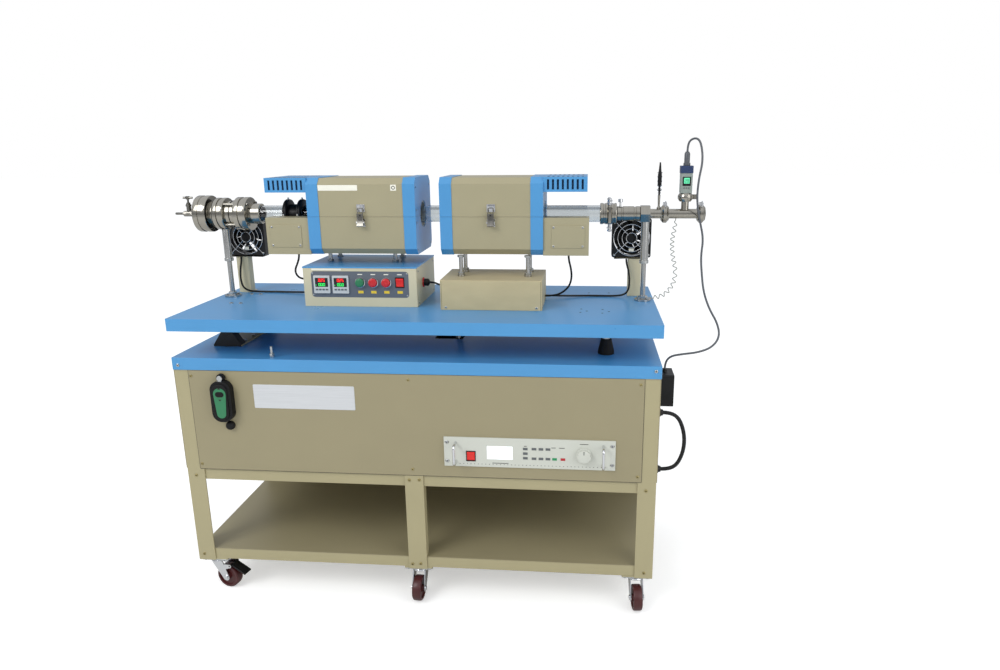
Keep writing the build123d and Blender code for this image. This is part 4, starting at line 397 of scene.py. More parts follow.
core = smooth_line(np.array(CURLY_CORD) * MM)
travel = np.concatenate([[0], np.cumsum(np.linalg.norm(np.diff(core, axis=0), axis=1))])
share = np.linspace(0, 1, CURL_TURNS * CURL_STEPS + 1)
core = np.column_stack([np.interp(share * travel[-1], travel, core[:, axis]) for axis in range(3)])
side, other = carried_frame(core)
swell = CURL_RADIUS * MM * np.clip(np.minimum(share, 1 - share) * CURL_FADE, 0.03, 1)[:, None]
phase = (2 * np.pi * CURL_TURNS * share)[:, None]
helix = core + swell * (np.cos(phase) * side + np.sin(phase) * other)
curly_cord = strand(
    "coiled_cord", [helix], CURL_WIRE, curl_sheath, "tilt", ["curly_cord"]
)
drawn = smooth_line(helix)

for name, points, radius, body, node in (
    ("cabinet_loop", SIDE_LOOP, LOOP_RADIUS, "cart", "side_loop"),
    ("left_fan_lead", LEFT_FAN_CABLE, LEAD_RADIUS, "tilt", "table_leads"),
    ("right_fan_lead", RIGHT_FAN_CABLE, LEAD_RADIUS, "tilt", "table_leads"),
    ("terminal_lead", TERMINAL_CABLE, LEAD_RADIUS, "tilt", "table_leads"),
    ("link_lead", LINK_CABLE, LEAD_RADIUS, "tilt", "table_leads"),
    ("furnace_lead", FURNACE_LEAD, LEAD_RADIUS, "tilt", "table_leads"),
):
    route = np.array(points) * MM
    lead = strand(name, [route], radius, pvc, body, [node])
    drawn = smooth_line(route)


# ---- The cart: folded and welded sheet steel, powder coated in warm beige. The coat has a faint
# orange peel, and the sheet's edges are eased, not knife sharp.
# One beige paint in two copies: BEIGE, for the sheets, is darkened as painted shade, and FRAME_BEIGE, for the
# frame, is the lighter copy with painted light.
BEIGE = "#978E6F"
FRAME_BEIGE = "#A89F7B"
SHEET_FRONT = -274
EVERYWHERE = (-9999, 9999)


def inside(middles, spans):
    """Which of the points in metres lie in a box given as spans in mm along X, Y and Z."""
    low, high = np.array(spans, float).T * MM
    return ((middles > low) & (middles < high)).all(1)


def bench(node, finishes, boxes=(), gone=(), ease=0.6, smooth=32):
    """The node's own solids, with their corners merged and their sharp edges eased. Faces take the first
    finish, and those in one of boxes (index, x, y, z) that box's; another piece makes those in gone."""
    source = frame["nodes"][node].data
    middles = np.empty(len(source.polygons) * 3)
    source.polygons.foreach_get("center", middles)
    middles = middles.reshape(-1, 3)
    chosen = np.zeros(len(middles), int)
    for index, *spans in boxes:
        chosen[inside(middles, spans)] = index
    left_out = np.zeros(len(middles), bool)
    for spans in gone:
        left_out |= inside(middles, spans)
    mesh = source.copy()
    mesh.materials.clear()
    for material in finishes:
        mesh.materials.append(material)
    mesh.polygons.foreach_set("material_index", chosen)
    work = bmesh.new()
    work.from_mesh(mesh)
    work.faces.ensure_lookup_table()
    bmesh.ops.delete(work, geom=[work.faces[i] for i in np.flatnonzero(left_out)], context="FACES")
    bmesh.ops.remove_doubles(work, verts=work.verts, dist=1e-6)
    bmesh.ops.dissolve_limit(
        work, angle_limit=np.radians(0.6), verts=work.verts, edges=work.edges, delimit={"MATERIAL"}
    )
    work.to_mesh(mesh)
    work.free()
    made = bpy.data.objects.new(f"{node}_finished", mesh)
    bpy.context.scene.collection.objects.link(made)
    return settle(made, BODY_OF[node], [node], ease, smooth)


def place(axis, u, v, w):
    """Points in XYZ order, whose w is along an axis and whose u and v are along the other two."""
    ordered = {"X": (w, u, v), "Y": (u, w, v), "Z": (u, v, w)}[axis]
    return np.stack(np.broadcast_arrays(*ordered), -1).reshape(-1, 3)


def lathe(axis, centre, outline, steps=64):
    """Shape turned about an axis: centre + radius (cos t, sin t) for each (radius, place along the axis)
    of its outline, with t in equal steps round."""
    radius, along = np.array(outline, float).T[:, :, None]
    turn = np.linspace(0, 2 * np.pi, steps, endpoint=False)
    u, v = centre[0] + radius * np.cos(turn), centre[1] + radius * np.sin(turn)
    return place(axis, u, v, along + 0 * turn), grid_faces(len(outline), steps, wrap_rows=outline[0][0] > 0)


def tube(axis, centre, radius, low, high, bore=0.0, edge=0.5, steps=64):
    """Turned bar or pipe from low to high, with its outer edges broken by small bevels."""
    inner = [(bore, low), (radius - edge, low)]
    outer = [(radius, low + edge), (radius, high - edge), (radius - edge, high), (bore, high)]
    return lathe(axis, centre, inner + outer, steps)


def bar(axis, profile, low, high):
    """Shape with a straight run along an axis from low to high; profile lists its corners across it."""
    u, v = np.array(profile, float).T
    count = len(u)
    points = np.concatenate([place(axis, u, v, low + 0 * u), place(axis, u, v, high + 0 * u)])
    sides = [(i, (i + 1) % count, count + (i + 1) % count, count + i) for i in range(count)]
    return points, [*sides, tuple(range(count)), tuple(range(count, 2 * count))]


def brick(x, y, z):
    """Box between its two ends along X, Y and Z."""
    return bar("Z", [(x[0], y[0]), (x[1], y[0]), (x[1], y[1]), (x[0], y[1])], *z)


def rounded(centre, width, height, radius, steps=6):
    """Outline of a rectangle with rounded corners: a quarter circle about each corner's own centre."""
    corners = []
    for quarter, (sx, sy) in enumerate(((1, 1), (-1, 1), (-1, -1), (1, -1))):
        x, y = centre[0] + sx * (width / 2 - radius), centre[1] + sy * (height / 2 - radius)
        turns = np.linspace(0, np.pi / 2, steps) + quarter * np.pi / 2
        corners += [(x + radius * np.cos(turn), y + radius * np.sin(turn)) for turn in turns]
    return corners


def screw(axis, centre, face, out, radius):
    """A pan-head screw that stands on face along an axis, out being 1 or -1: its head, a dome turned from
    radius to nothing, and the two bars of its cross recess."""
    dome = [(radius, 0), (radius, 0.3), (radius * 0.85, 0.42), (radius * 0.5, 0.5), (0, 0.52)]
    head = lathe(axis, centre, [(r, face + out * h * radius) for r, h in dome], 20)
    top = sorted((face + out * radius * 0.45, face + out * radius * 0.535))
    u, v = centre
    long, thin = radius * 0.5, radius * 0.11
    cross = [
        bar(axis, [(u - a, v - b), (u + a, v - b), (u + a, v + b), (u - a, v + b)], *top)
        for a, b in ((long, thin), (thin, long))
    ]
    return head, cross


def screws(name, places, node, radius=4.0, plating=None):
    """Screws of one kind as one piece; places lists (axis, centre, face, out). Zinc-plated unless told."""
    made = [screw(*spot, radius) for spot in places]
    heads = [head for head, _ in made]
    layers = [(plating or zinc, heads), (shadow, [part for _, cross in made for part in cross])]
    return solid(name, layers, BODY_OF[node], smooth=35)


# Powder coat is satin with a faint orange peel. The frame and the sheets wear one beige paint: the
# frame's copy is lighter, with painted light, and the sheets' copy is darker, with painted shade.
shaded_beige_coat = finish("beige powder coat", BEIGE, 0.44, tone=0.025, patch=140, grain=1.6, relief=0.03)
lit_frame_coat = finish(
    "beige coat on the frame", FRAME_BEIGE, 0.42, tone=0.03, patch=140, grain=1.6, relief=0.03
)
# Passivated screws glint a dull yellow, and plain zinc a blue-white that is never mirror bright.
passivated = finish(
    "yellow passivated zinc", "#A99C6C", 0.34, 1.0, tone=0.10, patch=6, grain=1.0, relief=0.01
)
zinc = finish("bright zinc plate", "#BDBFBE", 0.28, 1.0, tone=0.06, patch=18, grain=1.2, relief=0.008)
# Recesses, slots and gaps are too small for light to reach their floor, and read as near black.
shadow = finish("screw recess in shadow", "#1B1A18", 0.7, tone=0.1, patch=5, grain=1.0, relief=0.01)
bench("cart_frame", [lit_frame_coat])
for node in ("body_panels", "front_panel"):
    bench(node, [shaded_beige_coat])
sheet_low, sheet_high = (np.array(corner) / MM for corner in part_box("front_panel"))
gap_x, gap_z = (sheet_low[0], sheet_high[0]), (sheet_low[2], sheet_high[2])
gaps = [brick((x - 0.9, x + 0.9), (-273.4, -272), gap_z) for x in gap_x]
gaps.append(brick(gap_x, (-273.4, -272), (gap_z[0] - 1.1, gap_z[0] + 0.2)))
solid("front_panel_gap", [(shadow, gaps)], "cart")
panel_screws = [(-637.7, 697), (-6.4, 698.5), (634.7, 698), (-637.7, 426), (-5.4, 429), (633.9, 427)]
spots = [("Y", at, SHEET_FRONT, -1) for at in panel_screws]
screws("panel_screws", spots, "front_panel", plating=passivated)
leg_screws = [(-661.5, 387), (659, 384), (-669, 125), (662, 123)]
leg_screws += [(-18, 394), (11.5, 395), (-20.5, 121), (4, 123)]
screws("leg_screws", [("Y", at, -272, -1) for at in leg_screws], "cart_frame", 4.5, passivated)
side_screws = [(y, z) for y in (-248, 248) for z in (430, 560, 692)]
spots = [("X", at, side * 689, side) for side in (-1, 1) for at in side_screws]
screws("side_screws", spots, "body_panels", plating=passivated)
rear_screws = [(x, z) for x in (-660, -330, 0, 330, 660) for z in (118, 402, 702)]
screws("rear_screws", [("Y", at, 274, 1) for at in rear_screws], "body_panels", plating=passivated)


# ---- The cabinet's name plate: thin brushed aluminium, sheared with rounded corners and glued to
# the front sheet in the middle of its left half. It is left bare.

# The brush marks run across the plate, and stretch its highlight up and down into a soft band.
brushed = finish(
    "brushed aluminium", "#E4E6E8", 0.42, 1.0, tone=0.04, patch=(60, 60, 3), grain=(30, 30, 0.3), relief=0.01
)
plate = bar("Y", rounded((-309.5, 640.5), 295, 71, 3), SHEET_FRONT - 0.8, SHEET_FRONT)
solid("bare_name_plate", [(brushed, [plate])], "cart", ease=0.3)


# ---- The lower top: a folded sheet tray with welded corners, stoved in light blue enamel. Screws
# through its skirt hold it to the frame, two in front and two behind.
BLUE = "#4D94C9"
# Stoved enamel is smooth and glossier than powder coat, so the table mirrors the room faintly.
blue_coat = finish("blue stove enamel", BLUE, 0.30, tone=0.03, patch=120, grain=1.8, relief=0.02)
bench("lower_top", [blue_coat], ease=1.2)
spots = [("Y", at, -275, -1) for at in ((-671.8, 729), (674, 737))]
spots += [("Y", at, 275, 1) for at in ((-672, 733), (672, 733))]
screws("skirt_screws", spots, "lower_top", 4.5)


# ---- Casters: zinc-plated top plates, chrome-plated pressed forks and cast polyurethane wheels with
# a moulded rim, and the black brake pedal on the front left one.
# Chrome plate mirrors the floor and the sky; cast polyurethane is dark, with a waxy highlight.
chrome = finish("chrome plate", "#D9DADC", 0.09, 1.0, tone=0.02, patch=30, grain=4, relief=0.01)
urethane = finish(
    "red-brown cast polyurethane", "#471A1A", 0.36, tone=0.10, patch=20, grain=1.2, relief=0.015
)
# Black ABS is spark textured in its mould, which keeps it black under the lamps.
black_abs = finish("black moulded abs", "#0F0F10", 0.42, tone=0.08, patch=30, grain=0.7, relief=0.012, **DULL)
PLATE_BOLTS = ((-32, -24), (32, -24), (32, 24), (-32, 24))
CASTER_PLACES = {
    "front_left": (-641, -235, -12),
    "front_middle": (-4, -236, -93),
    "front_right": (641, -235, -84),
    "rear_left": (-641, 235, 100),
    "rear_middle": (-4, 236, 78),
    "rear_right": (641, 235, 95),
}
TRAIL, WHEEL_RADIUS = 30, 37.5
WHEEL_OUTLINE = (
    (4.2, -16), (10.4, -16), (11, -15.4), (11.4, -9.4), (28.2, -9), (29.2, -12.6), (30, -13), (34.2, -13),
    (36.4, -11.6), (37.5, -8.8), (37.5, 8.8), (36.4, 11.6), (34.2, 13), (30, 13), (29.2, 12.6), (28.2, 9),
    (11.4, 9.4), (11, 15.4), (10.4, 16), (4.2, 16),
)


def around(centre, radius, turns=range(0, 360, 60)):
    """Points of centre + radius (cos t, sin t), for turns t in degrees: a hexagon's corners unless told."""
    return [(centre[0] + radius * np.cos(t), centre[1] + radius * np.sin(t)) for t in np.radians(turns)]


def swing(shape, name):
    """Moves a shape drawn under a caster at the origin, wheel towards +X, to its own caster."""
    x, y, heading = CASTER_PLACES[name]
    cos, sin = np.cos(np.radians(heading)), np.sin(np.radians(heading))
    points, faces = shape
    return points @ np.array([[cos, sin, 0], [-sin, cos, 0], [0, 0, 1]]) + (x, y, 0), faces


bench("caster_plates", [zinc])
bolts = []
for x, y, _ in CASTER_PLACES.values():
    for dx, dy in PLATE_BOLTS:
        bolts.append(bar("Z", around((x + dx, y + dy), 5.5, range(15, 375, 60)), 97.5, 101.5))
solid("caster_bolts", [(zinc, bolts)], "cart", ease=0.4)
for name in CASTER_PLACES:
    bench(f"{name}_fork", [chrome], ease=0.8)
    wheel = swing(lathe("Y", (TRAIL, WHEEL_RADIUS), WHEEL_OUTLINE, 96), name)
    node = f"{name}_wheel"
    solid(f"{node}_cast", [(urethane, [wheel])], BODY_OF[node], [node], smooth=28)
bench("brake_pedal", [black_abs], ease=1.0)


# ---- The generator: an ivory enamelled rack plate with a lit display and power rocker, small keys,
# plated bow handles and a scalloped knob, on a zinc-plated chassis.
RACK_FRONT = -278
KNOB_CENTRE = (484, 489.5)
KNOB_FLUTES, KNOB_STEPS = 12, 96
# Rack enamel is even and satin, and silicone keys are matt, so they take no highlight.
rack_coat = finish("ivory rack enamel", "#C9CBC0", 0.40, tone=0.015, patch=80, grain=1.4, relief=0.012)
key_grey = finish("grey silicone key", "#5E6263", 0.6, tone=0.05, patch=8, grain=0.6, relief=0.01)
key_green = finish("green silicone key", "#1E8C57", 0.5, tone=0.05, patch=8, grain=0.6, relief=0.01)
key_red = finish("red silicone key", "#B5232B", 0.5, tone=0.05, patch=8, grain=0.6, relief=0.01)


def lit(name, colour, strength, roughness=0.25, patch=6.0):
    """Glowing face of a display or lamp: its own colour, and the same colour given off as light."""
    material = finish(name, colour, roughness, tone=0.04, patch=patch, grain=0.6, relief=0.004)
    shader = material.node_tree.nodes["Principled BSDF"]
    source = shader.inputs["Base Color"].links[0].from_socket
    material.node_tree.links.new(source, shader.inputs["Emission Color"])
    shader.inputs["Emission Strength"].default_value = strength
    return material


# The display is washed white by its backlight, and the rocker glows red through clear plastic.
screen = lit("backlit display", "#F2F6FF", 0.55, patch=60)
red_lamp = lit("lit red rocker", "#C0211A", 0.40)
red_abs = finish("red moulded polycarbonate", "#C8252A", 0.26, tone=0.05, patch=12, grain=0.9, relief=0.006)
plate_keys = (-279, -278.1)
bench(
    "rf_generator",
    [rack_coat, zinc, black_abs, chrome, key_grey, key_green, key_red, screen],
    [
        (1, EVERYWHERE, (-273.9, 400), (448, 531)),
        (2, EVERYWHERE, (-273.9, 400), (400, 447.4)),
        (2, (151, 180), (-281, -255), (460, 494)),
        (3, (115, 130), (-400, -278.2), (450, 530)),
        (3, (530, 545), (-400, -278.2), (450, 530)),
        (4, (312, 392), plate_keys, (470, 509)),
        (5, (395, 409), plate_keys, (470, 480)),
        (6, (418, 433), plate_keys, (470, 480)),
        (7, (210, 285), (-277.6, -275.9), (469, 510)),
    ],
    ease=0.5,
)
bench("generator_rocker", [red_lamp], ease=0.6)
knob_outline = (
    (0, -17), (16.6, -17), (18.4, -16.5), (19.6, -15), (19.9, -5.6), (20.2, -5), (22, -4.4), (22, 0), (0, 0),
)
outline = [(r, RACK_FRONT - 0.3 + y) for r, y in knob_outline]
points, faces = lathe("Y", KNOB_CENTRE, outline, KNOB_STEPS)
# The grip's radius dips by a twentieth between its flutes, as (1 - cos) / 2 of the flutes' turn.
ridge = np.cos(KNOB_FLUTES * np.linspace(0, 2 * np.pi, KNOB_STEPS, endpoint=False))
dip = 1 - 0.055 * (0.5 - 0.5 * ridge)
rows = points.reshape(len(knob_outline), KNOB_STEPS, 3)
for row in (2, 3, 4):
    rows[row, :, 0] = KNOB_CENTRE[0] + (rows[row, :, 0] - KNOB_CENTRE[0]) * dip
    rows[row, :, 2] = KNOB_CENTRE[1] + (rows[row, :, 2] - KNOB_CENTRE[1]) * dip
pointer = brick((483, 485), (RACK_FRONT - 17.6, RACK_FRONT - 17.2), (497, 507))
shaft = tube("Y", KNOB_CENTRE, 3, RACK_FRONT - 1, SHEET_FRONT)
layers = [(rack_coat, [(points, faces), shaft]), (shadow, [pointer])]
node = "generator_knob"
solid("knob_turned", layers, BODY_OF[node], [node], smooth=30)
spots = [("Y", (330 + x, 489.5 + z), RACK_FRONT, -1) for x in (-232.55, 232.55) for z in (-28.5, 28.5)]
screws("rack_screws", spots, "rf_generator", 4.6)
printed = (RACK_FRONT - 0.25, RACK_FRONT)
ticks = [brick((x, x + 2.2), printed, (453, 454.6)) for x in np.arange(122, 548, 10.5)]
captions = [
    brick((x, x + w), printed, (z, z + 1.6))
    for x, w, z in ((226, 46, 457), (393, 12, 508), (414, 16, 508), (472, 24, 521), (316, 8, 511))
]
solid("plate_marks", [(shadow, ticks + captions)], "cart")
vents = [brick((x, x + 4), (56, 56.5), (z, z + 22)) for x in np.arange(140, 260, 9) for z in (462, 492)]
solid("chassis_slots", [(shadow, vents)], "cart")


# ---- The hand pendant, hung by its zinc clip on the front sheet: a green ABS case with a tapered
# face, held in a moulded rubber rim with grip ribs, and an oval rubber key.
PENDANT_MIDDLE, PENDANT_TOP, PENDANT_FOOT = -545, 652, 594
# Moulded rubber is matt and nearly black; the green ABS beside it has a clean, soft highlight.
black_rubber = finish(
    "black moulded rubber",
    "#0C0C0D",
    0.60,
    tone=0.08,
    patch=25,
    grain=0.8,
    relief=0.02,
    **{"Specular IOR Level": 0.3},
)
green_abs = finish("green moulded abs", "#2B7A50", 0.34, tone=0.05, patch=25, grain=0.9, relief=0.01)
clip = (1, (-554, -536), (-293, -287.9), (686, 706))
bench("pendant_case", [black_rubber, zinc], [clip], ease=0.8)
bench("pendant_key", [black_rubber], ease=0.8)
ribs = [
    brick((x - 1.2, x + 1.2), (-297.2, -296), (z, z + 1.8))
    for x in (PENDANT_MIDDLE - 24.5, PENDANT_MIDDLE + 24.5)
    for z in np.arange(592, 664, 4.2)
]
arrows = []
for s in (-1, 1):
    base, point = PENDANT_TOP + s * 15, PENDANT_TOP + s * 20
    arrow = [(PENDANT_MIDDLE - 5, base), (PENDANT_MIDDLE + 5, base), (PENDANT_MIDDLE, point)]
    arrows.append(bar("Y", arrow[::s], -300.9, -300.5))
inlay = around((PENDANT_MIDDLE, PENDANT_TOP), 18.5, range(0, 181, 15))
inlay += around((PENDANT_MIDDLE, PENDANT_FOOT), 13.5, range(180, 361, 15))
layers = [(green_abs, [bar("Y", inlay, -300.6, -299.5)]), (shadow, arrows + ribs)]
solid("pendant_inlay", layers, "cart")


# ---- Fittings on the cabinet's right side: a mains adapter, an outlet and cable glands. All are
# black mouldings screwed to the side sheet, and the adapter's ribs are moulded in.
bench("side_fittings", [black_abs], ease=1.5)
prongs = [brick((690, 736), (y, y + 1.6), (596.6, 596.9)) for y in np.arange(-160, -92, 6.0)]
fins = [brick((737, 737.4), (-158, -92), (z, z + 1.5)) for z in np.arange(612, 680, 7.0)]
solid("adapter_ribs", [(shadow, prongs + fins)], "cart")


# ---- Tilt hardware: a painted hinge base with dark pinned lugs, rubber feet that the table rests
# on, a stop stud and the actuator. Hexagon nuts hold the base, the feet and the stud down.

# Oxide-blacked steel is dark and uneven; turned stainless has fine rings round its axis.
dark_steel = finish("dark oxide steel", "#3A3836", 0.46, 0.7, tone=0.10, patch=30, grain=1.4, relief=0.02)
stainless = finish(
    "turned stainless steel",
    "#B4B4B2",
    0.22,
    1.0,
    tone=0.05,
    patch=(60, 60, 8),
    grain=(8, 8, 0.5),
    relief=0.004,
)
# The hinge base takes the cart's darker beige copy, which carries painted shade.
bench(
    "tilt_supports",
    [dark_steel, shaded_beige_coat, black_rubber, zinc],
    [
        (1, (-630, -540), (-151, 151), (750, 756.4)),
        (2, (515, 570), (-180, 180), (750, 795.2)),
        (3, (515, 570), (-180, 180), (795.3, 830)),
        (3, (-412, -392), (-262, -240), (750, 784)),
    ],
    ease=0.6,
)
nuts = [bar("Z", around((x, y), 6.5), 756, 761) for x in (-615, -553) for y in (-100, -40, 40, 100)]
nuts += [bar("Z", around((542, y), 9), 801, 807) for y in (-153, 153)]
nuts.append(bar("Z", around((-402, -251), 7.5), 756, 762))
solid("tilt_nuts", [(zinc, nuts)], "cart", ease=0.4)
bench("table_brackets", [dark_steel], ease=0.6)
bench("actuator_body", [black_abs, dark_steel], [(1, EVERYWHERE, EVERYWHERE, (440, 500))], ease=0.8)
bench("actuator_rod", [stainless], ease=0.5)


# ---- The tilting table: a folded tray like the lower top, in the same blue enamel. Screws in its
# face hold the brackets below it, and spare holes are drilled towards its right end.
TABLE_FACE = 865.5
bench("tilt_table", [blue_coat], ease=1.4)
spots = [("Z", (x, y), TABLE_FACE, 1) for x in (-599, -569) for y in (-70, 70)]
spots += [("Z", (107, y), TABLE_FACE, 1) for y in (-26, 26)]
screws("table_bolts", spots, "tilt_table", 6.0)
drilled = [(470, -92), (486, -118), (468, -136), (531, -96), (549, -121), (530, -142), (492, 148), (556, 150)]
low, high = TABLE_FACE - 0.1, TABLE_FACE + 0.12
holes = [lathe("Z", at, [(0, high), (3.2, high), (3.2, low), (0, low)], 24) for at in drilled]
solid("table_holes", [(shadow, holes)], "tilt")


# ---- The control box: pale beige folded case with a blue top plate, a screwed grey panel, two
# controllers with red and green digits, three buttons and the lit power rocker.
PANEL_FACE = -95
BUTTON_PLACES = (-181.8, -142.5, -103.2)
ROCKER_PLACE = -63
BUTTON_HEIGHT = 939
# The painted sheets are satin, the moulded bezels smoother, and the windows glossy and nearly black.
pale_coat = finish("pale beige powder coat", "#CDC4A4", 0.42, tone=0.03, patch=90, grain=1.6, relief=0.025)
panel_coat = finish("slate grey panel enamel", "#5F656D", 0.40, tone=0.03, patch=60, grain=0.8, relief=0.01)
bezel_grey = finish("light grey moulded bezel", "#C4C6C4", 0.42, tone=0.03, patch=20, grain=0.8, relief=0.01)
window_dark = finish("smoked display window", "#17181C", 0.16, tone=0.04, patch=20, grain=2, relief=0.002)
cream_card = finish("cream label stock", "#EFECDC", 0.55, tone=0.02, patch=20, grain=0.5, relief=0.005)
yellow_card = finish("yellow label stock", "#E8C53A", 0.5, tone=0.03, patch=10, grain=0.5, relief=0.005)
# Lit segments are brighter than anything near them and burn out towards white in the middle.
red_digit = lit("red led segment", "#F0241B", 1.6)
green_digit = lit("green led segment", "#35E06A", 1.3)
bench(
    "control_box",
    [pale_coat, blue_coat, red_abs, black_abs],
    [
        (1, EVERYWHERE, EVERYWHERE, (980.9, 985.5)),
        (2, (-12.1, -8.9), (-26, 6), (909, 942)),
        (3, (-8.9, 9), (-26, 6), (909, 942)),
    ],
    ease=0.8,
)
button_seats = (1, (-205, -40), (-99, -95.2), (920, 960))
rocker_frame = (1, (-80, -46), (-95, -60), (920, 958))
bench("control_panel", [panel_coat, black_abs], [button_seats, rocker_frame], ease=0.4)
bench("temperature_controllers", [bezel_grey], ease=0.7)
# Each figure's lit segments, and each segment's two ends in a cell one wide and one high.
SEGMENTS = {"0": "abcdef", "1": "bc", "2": "abged", "4": "fgbc", "5": "afgcd", "7": "abc", "8": "abcdefg"}
STROKES = {
    "a": ((0, 1), (1, 1)), "b": ((1, 1), (1, 0.5)), "c": ((1, 0.5), (1, 0)), "d": ((0, 0), (1, 0)),
    "e": ((0, 0), (0, 0.5)), "f": ((0, 0.5), (0, 1)), "g": ((0, 0.5), (1, 0.5)),
}


def digits(text, x, z, width, height, front, weight=0.9):
    """Bars of seven-segment digits, the text's left bottom corner at x and z, on a face at front. Each
    bar reaches half its weight past the ends of its segment; digits stand 1.6 widths apart."""
    bars = []
    for place_in_text, figure in enumerate(text):
        left = x + place_in_text * width * 1.6
        for stroke in SEGMENTS[figure]:
            (u0, v0), (u1, v1) = STROKES[stroke]
            ends_x = sorted((left + u0 * width, left + u1 * width))
            ends_z = sorted((z + v0 * height, z + v1 * height))
            reach_x = (ends_x[0] - weight / 2, ends_x[1] + weight / 2)
            reach_z = (ends_z[0] - weight / 2, ends_z[1] + weight / 2)
            bars.append(brick(reach_x, (front - 0.25, front), reach_z))
    return bars


BEZEL_FRONT = -100
WINDOW_FRONT = BEZEL_FRONT - 0.3
windows, red_bars, green_bars, keys, dots = [], [], [], [], []
for middle in (-298, -241):
    windows.append(bar("Y", rounded((middle, 939), 39, 27, 1.5), WINDOW_FRONT, BEZEL_FRONT))
    red_bars += digits("025", middle - 9, 941.5, 4.4, 8.0, WINDOW_FRONT)
    green_bars += digits("000", middle - 9, 928.6, 4.4, 7.2, WINDOW_FRONT)
    dots.append(brick((middle - 18, middle - 16.2), (WINDOW_FRONT - 0.25, WINDOW_FRONT), (930, 931.8)))
    for x in (middle - 15, middle - 5, middle + 5, middle + 15):
        keys.append(bar("Y", rounded((x, 917.5), 7.4, 4.6, 1.2), BEZEL_FRONT - 0.9, BEZEL_FRONT))
layers = [(window_dark, windows), (red_digit, red_bars), (green_digit, green_bars + dots), (key_grey, keys)]
solid("controller_displays", layers, "tilt")
cap_outline = (
    (0, -108.3), (8.5, -108.1), (11.4, -107.3), (12.7, -105.8), (13, -104), (13, -101.3), (11, -101.3),
    (11, -68.3), (0, -68.3),
)
for name, middle, plastic in zip(("start", "stop", "reset"), BUTTON_PLACES, (green_abs, red_abs, red_abs)):
    node = f"{name}_button"
    cap = lathe("Y", (middle, BUTTON_HEIGHT), cap_outline)
    solid(f"{node}_cap", [(plastic, [cap])], BODY_OF[node], [node])
ring_outline = ((13.6, -98.6), (15.2, -98.4), (15.4, -97.6), (15.4, -95.1), (13.6, -95.1))
rings = [lathe("Y", (x, BUTTON_HEIGHT), ring_outline) for x in BUTTON_PLACES]
solid("button_rings", [(chrome, rings)], "tilt")
bench("power_switch", [red_lamp], ease=0.7)
card = (PANEL_FACE - 0.3, PANEL_FACE)
labels = [brick((x - 8, x + 8), card, (906, 914)) for x in (*BUTTON_PLACES, ROCKER_PLACE)]
strip = [brick((-328, -238), (PANEL_FACE - 0.4, PANEL_FACE), (974.5, 979.5))]
notices = [brick((x - 7, x + 7), card, (961.5, 964)) for x in (*BUTTON_PLACES, ROCKER_PLACE)]
layers = [(yellow_card, labels), (cream_card, strip + notices)]
solid("panel_labels", layers, "tilt")
spots = [("Y", (x, z), PANEL_FACE, -1) for x in (-326, -41) for z in (900, 965)]
screws("panel_corner_screws", spots, "control_panel", 2.4)
spots = [("X", (y, z), -355, -1) for y in (-75, 135) for z in (876, 970)]
spots += [("X", (y, z), -12, 1) for y in (-75, 135) for z in (876, 970)]
screws("box_screws", spots, "control_box", 3.2)


# ---- The pedestal under the right furnace: a folded sheet box with welded seams at its corners,
# in the cabinet's beige paint drawn lighter as painted light, and screwed down at its foot.

# The coat is the cabinet's beige, painted yellower and lighter as painted light, with a patchy tone,
# so the box looks warmer than the one beside it.
lit_pedestal_coat = finish(
    "pedestal beige with painted light", "#BDAF88", 0.46, tone=0.06, patch=(70, 70, 30), grain=1.6, relief=0.03
)
bench("pedestal", [lit_pedestal_coat], ease=1.0)
spots = [("Y", (x, 874), -125, -1) for x in (78, 342)]
spots += [("X", (y, 874), x, out) for x, out in ((358, 1), (62, -1)) for y in (-105, 55)]
screws("pedestal_screws", spots, "pedestal", 3.6)
seams = [brick((x - 0.4, x + 0.4), (-125.15, -124.9), (868, 950)) for x in (66, 354)]
seams += [brick((357.9, 358.15), (y - 0.4, y + 0.4), (868, 950)) for y in (-121, 71)]
solid("pedestal_seams", [(shadow, seams)], "tilt")


# ---- Posts: bright round steel posts that carry the furnaces, with a nut at each end, and the two
# adjustable posts under the tube, each with a foot bolted to the table and a locking collar.
bench("steel_posts", [stainless], ease=0.4)
# Foot height of the posts under each furnace, and their places on the table.
POSTS = {
    985: ((-308, 20), (-103, 20), (-308, 110), (-103, 110)),
    959: ((114, -54), (312, -54), (114, 27), (312, 27)),
}
QUARTERS = (45, 135, 225, 315)
nuts = []
for foot, places in POSTS.items():
    for at in places:
        nuts += [bar("Z", around(at, 10.5), foot, foot + 6), bar("Z", around(at, 10.5), 1009.5, 1015.8)]
for at in ((-647, 40), (655, 40)):
    nuts.append(bar("Z", around(at, 13.5), 871.5, 881))
    nuts.append(tube("Z", at, 14, 980, 989, steps=48))
    nuts += [bar("Z", around(bolt, 4.5), 871.5, 875.5) for bolt in around(at, 18, QUARTERS)]
solid("post_nuts", [(zinc, nuts)], "tilt", ease=0.4)


# ---- The split furnaces: beige wraps between blue folded end caps, hinged behind and latched in
# front, with white fibre blocks and bare heater wire inside.
FURNACES = {"left": (-338, -14), "right": (57, 357)}
LATCHES = {"left": -176, "right": 207}
TUBE_AXIS = (40, 1128)
CAP_WIDTH = 36.1
WIRE_RING = 34.6
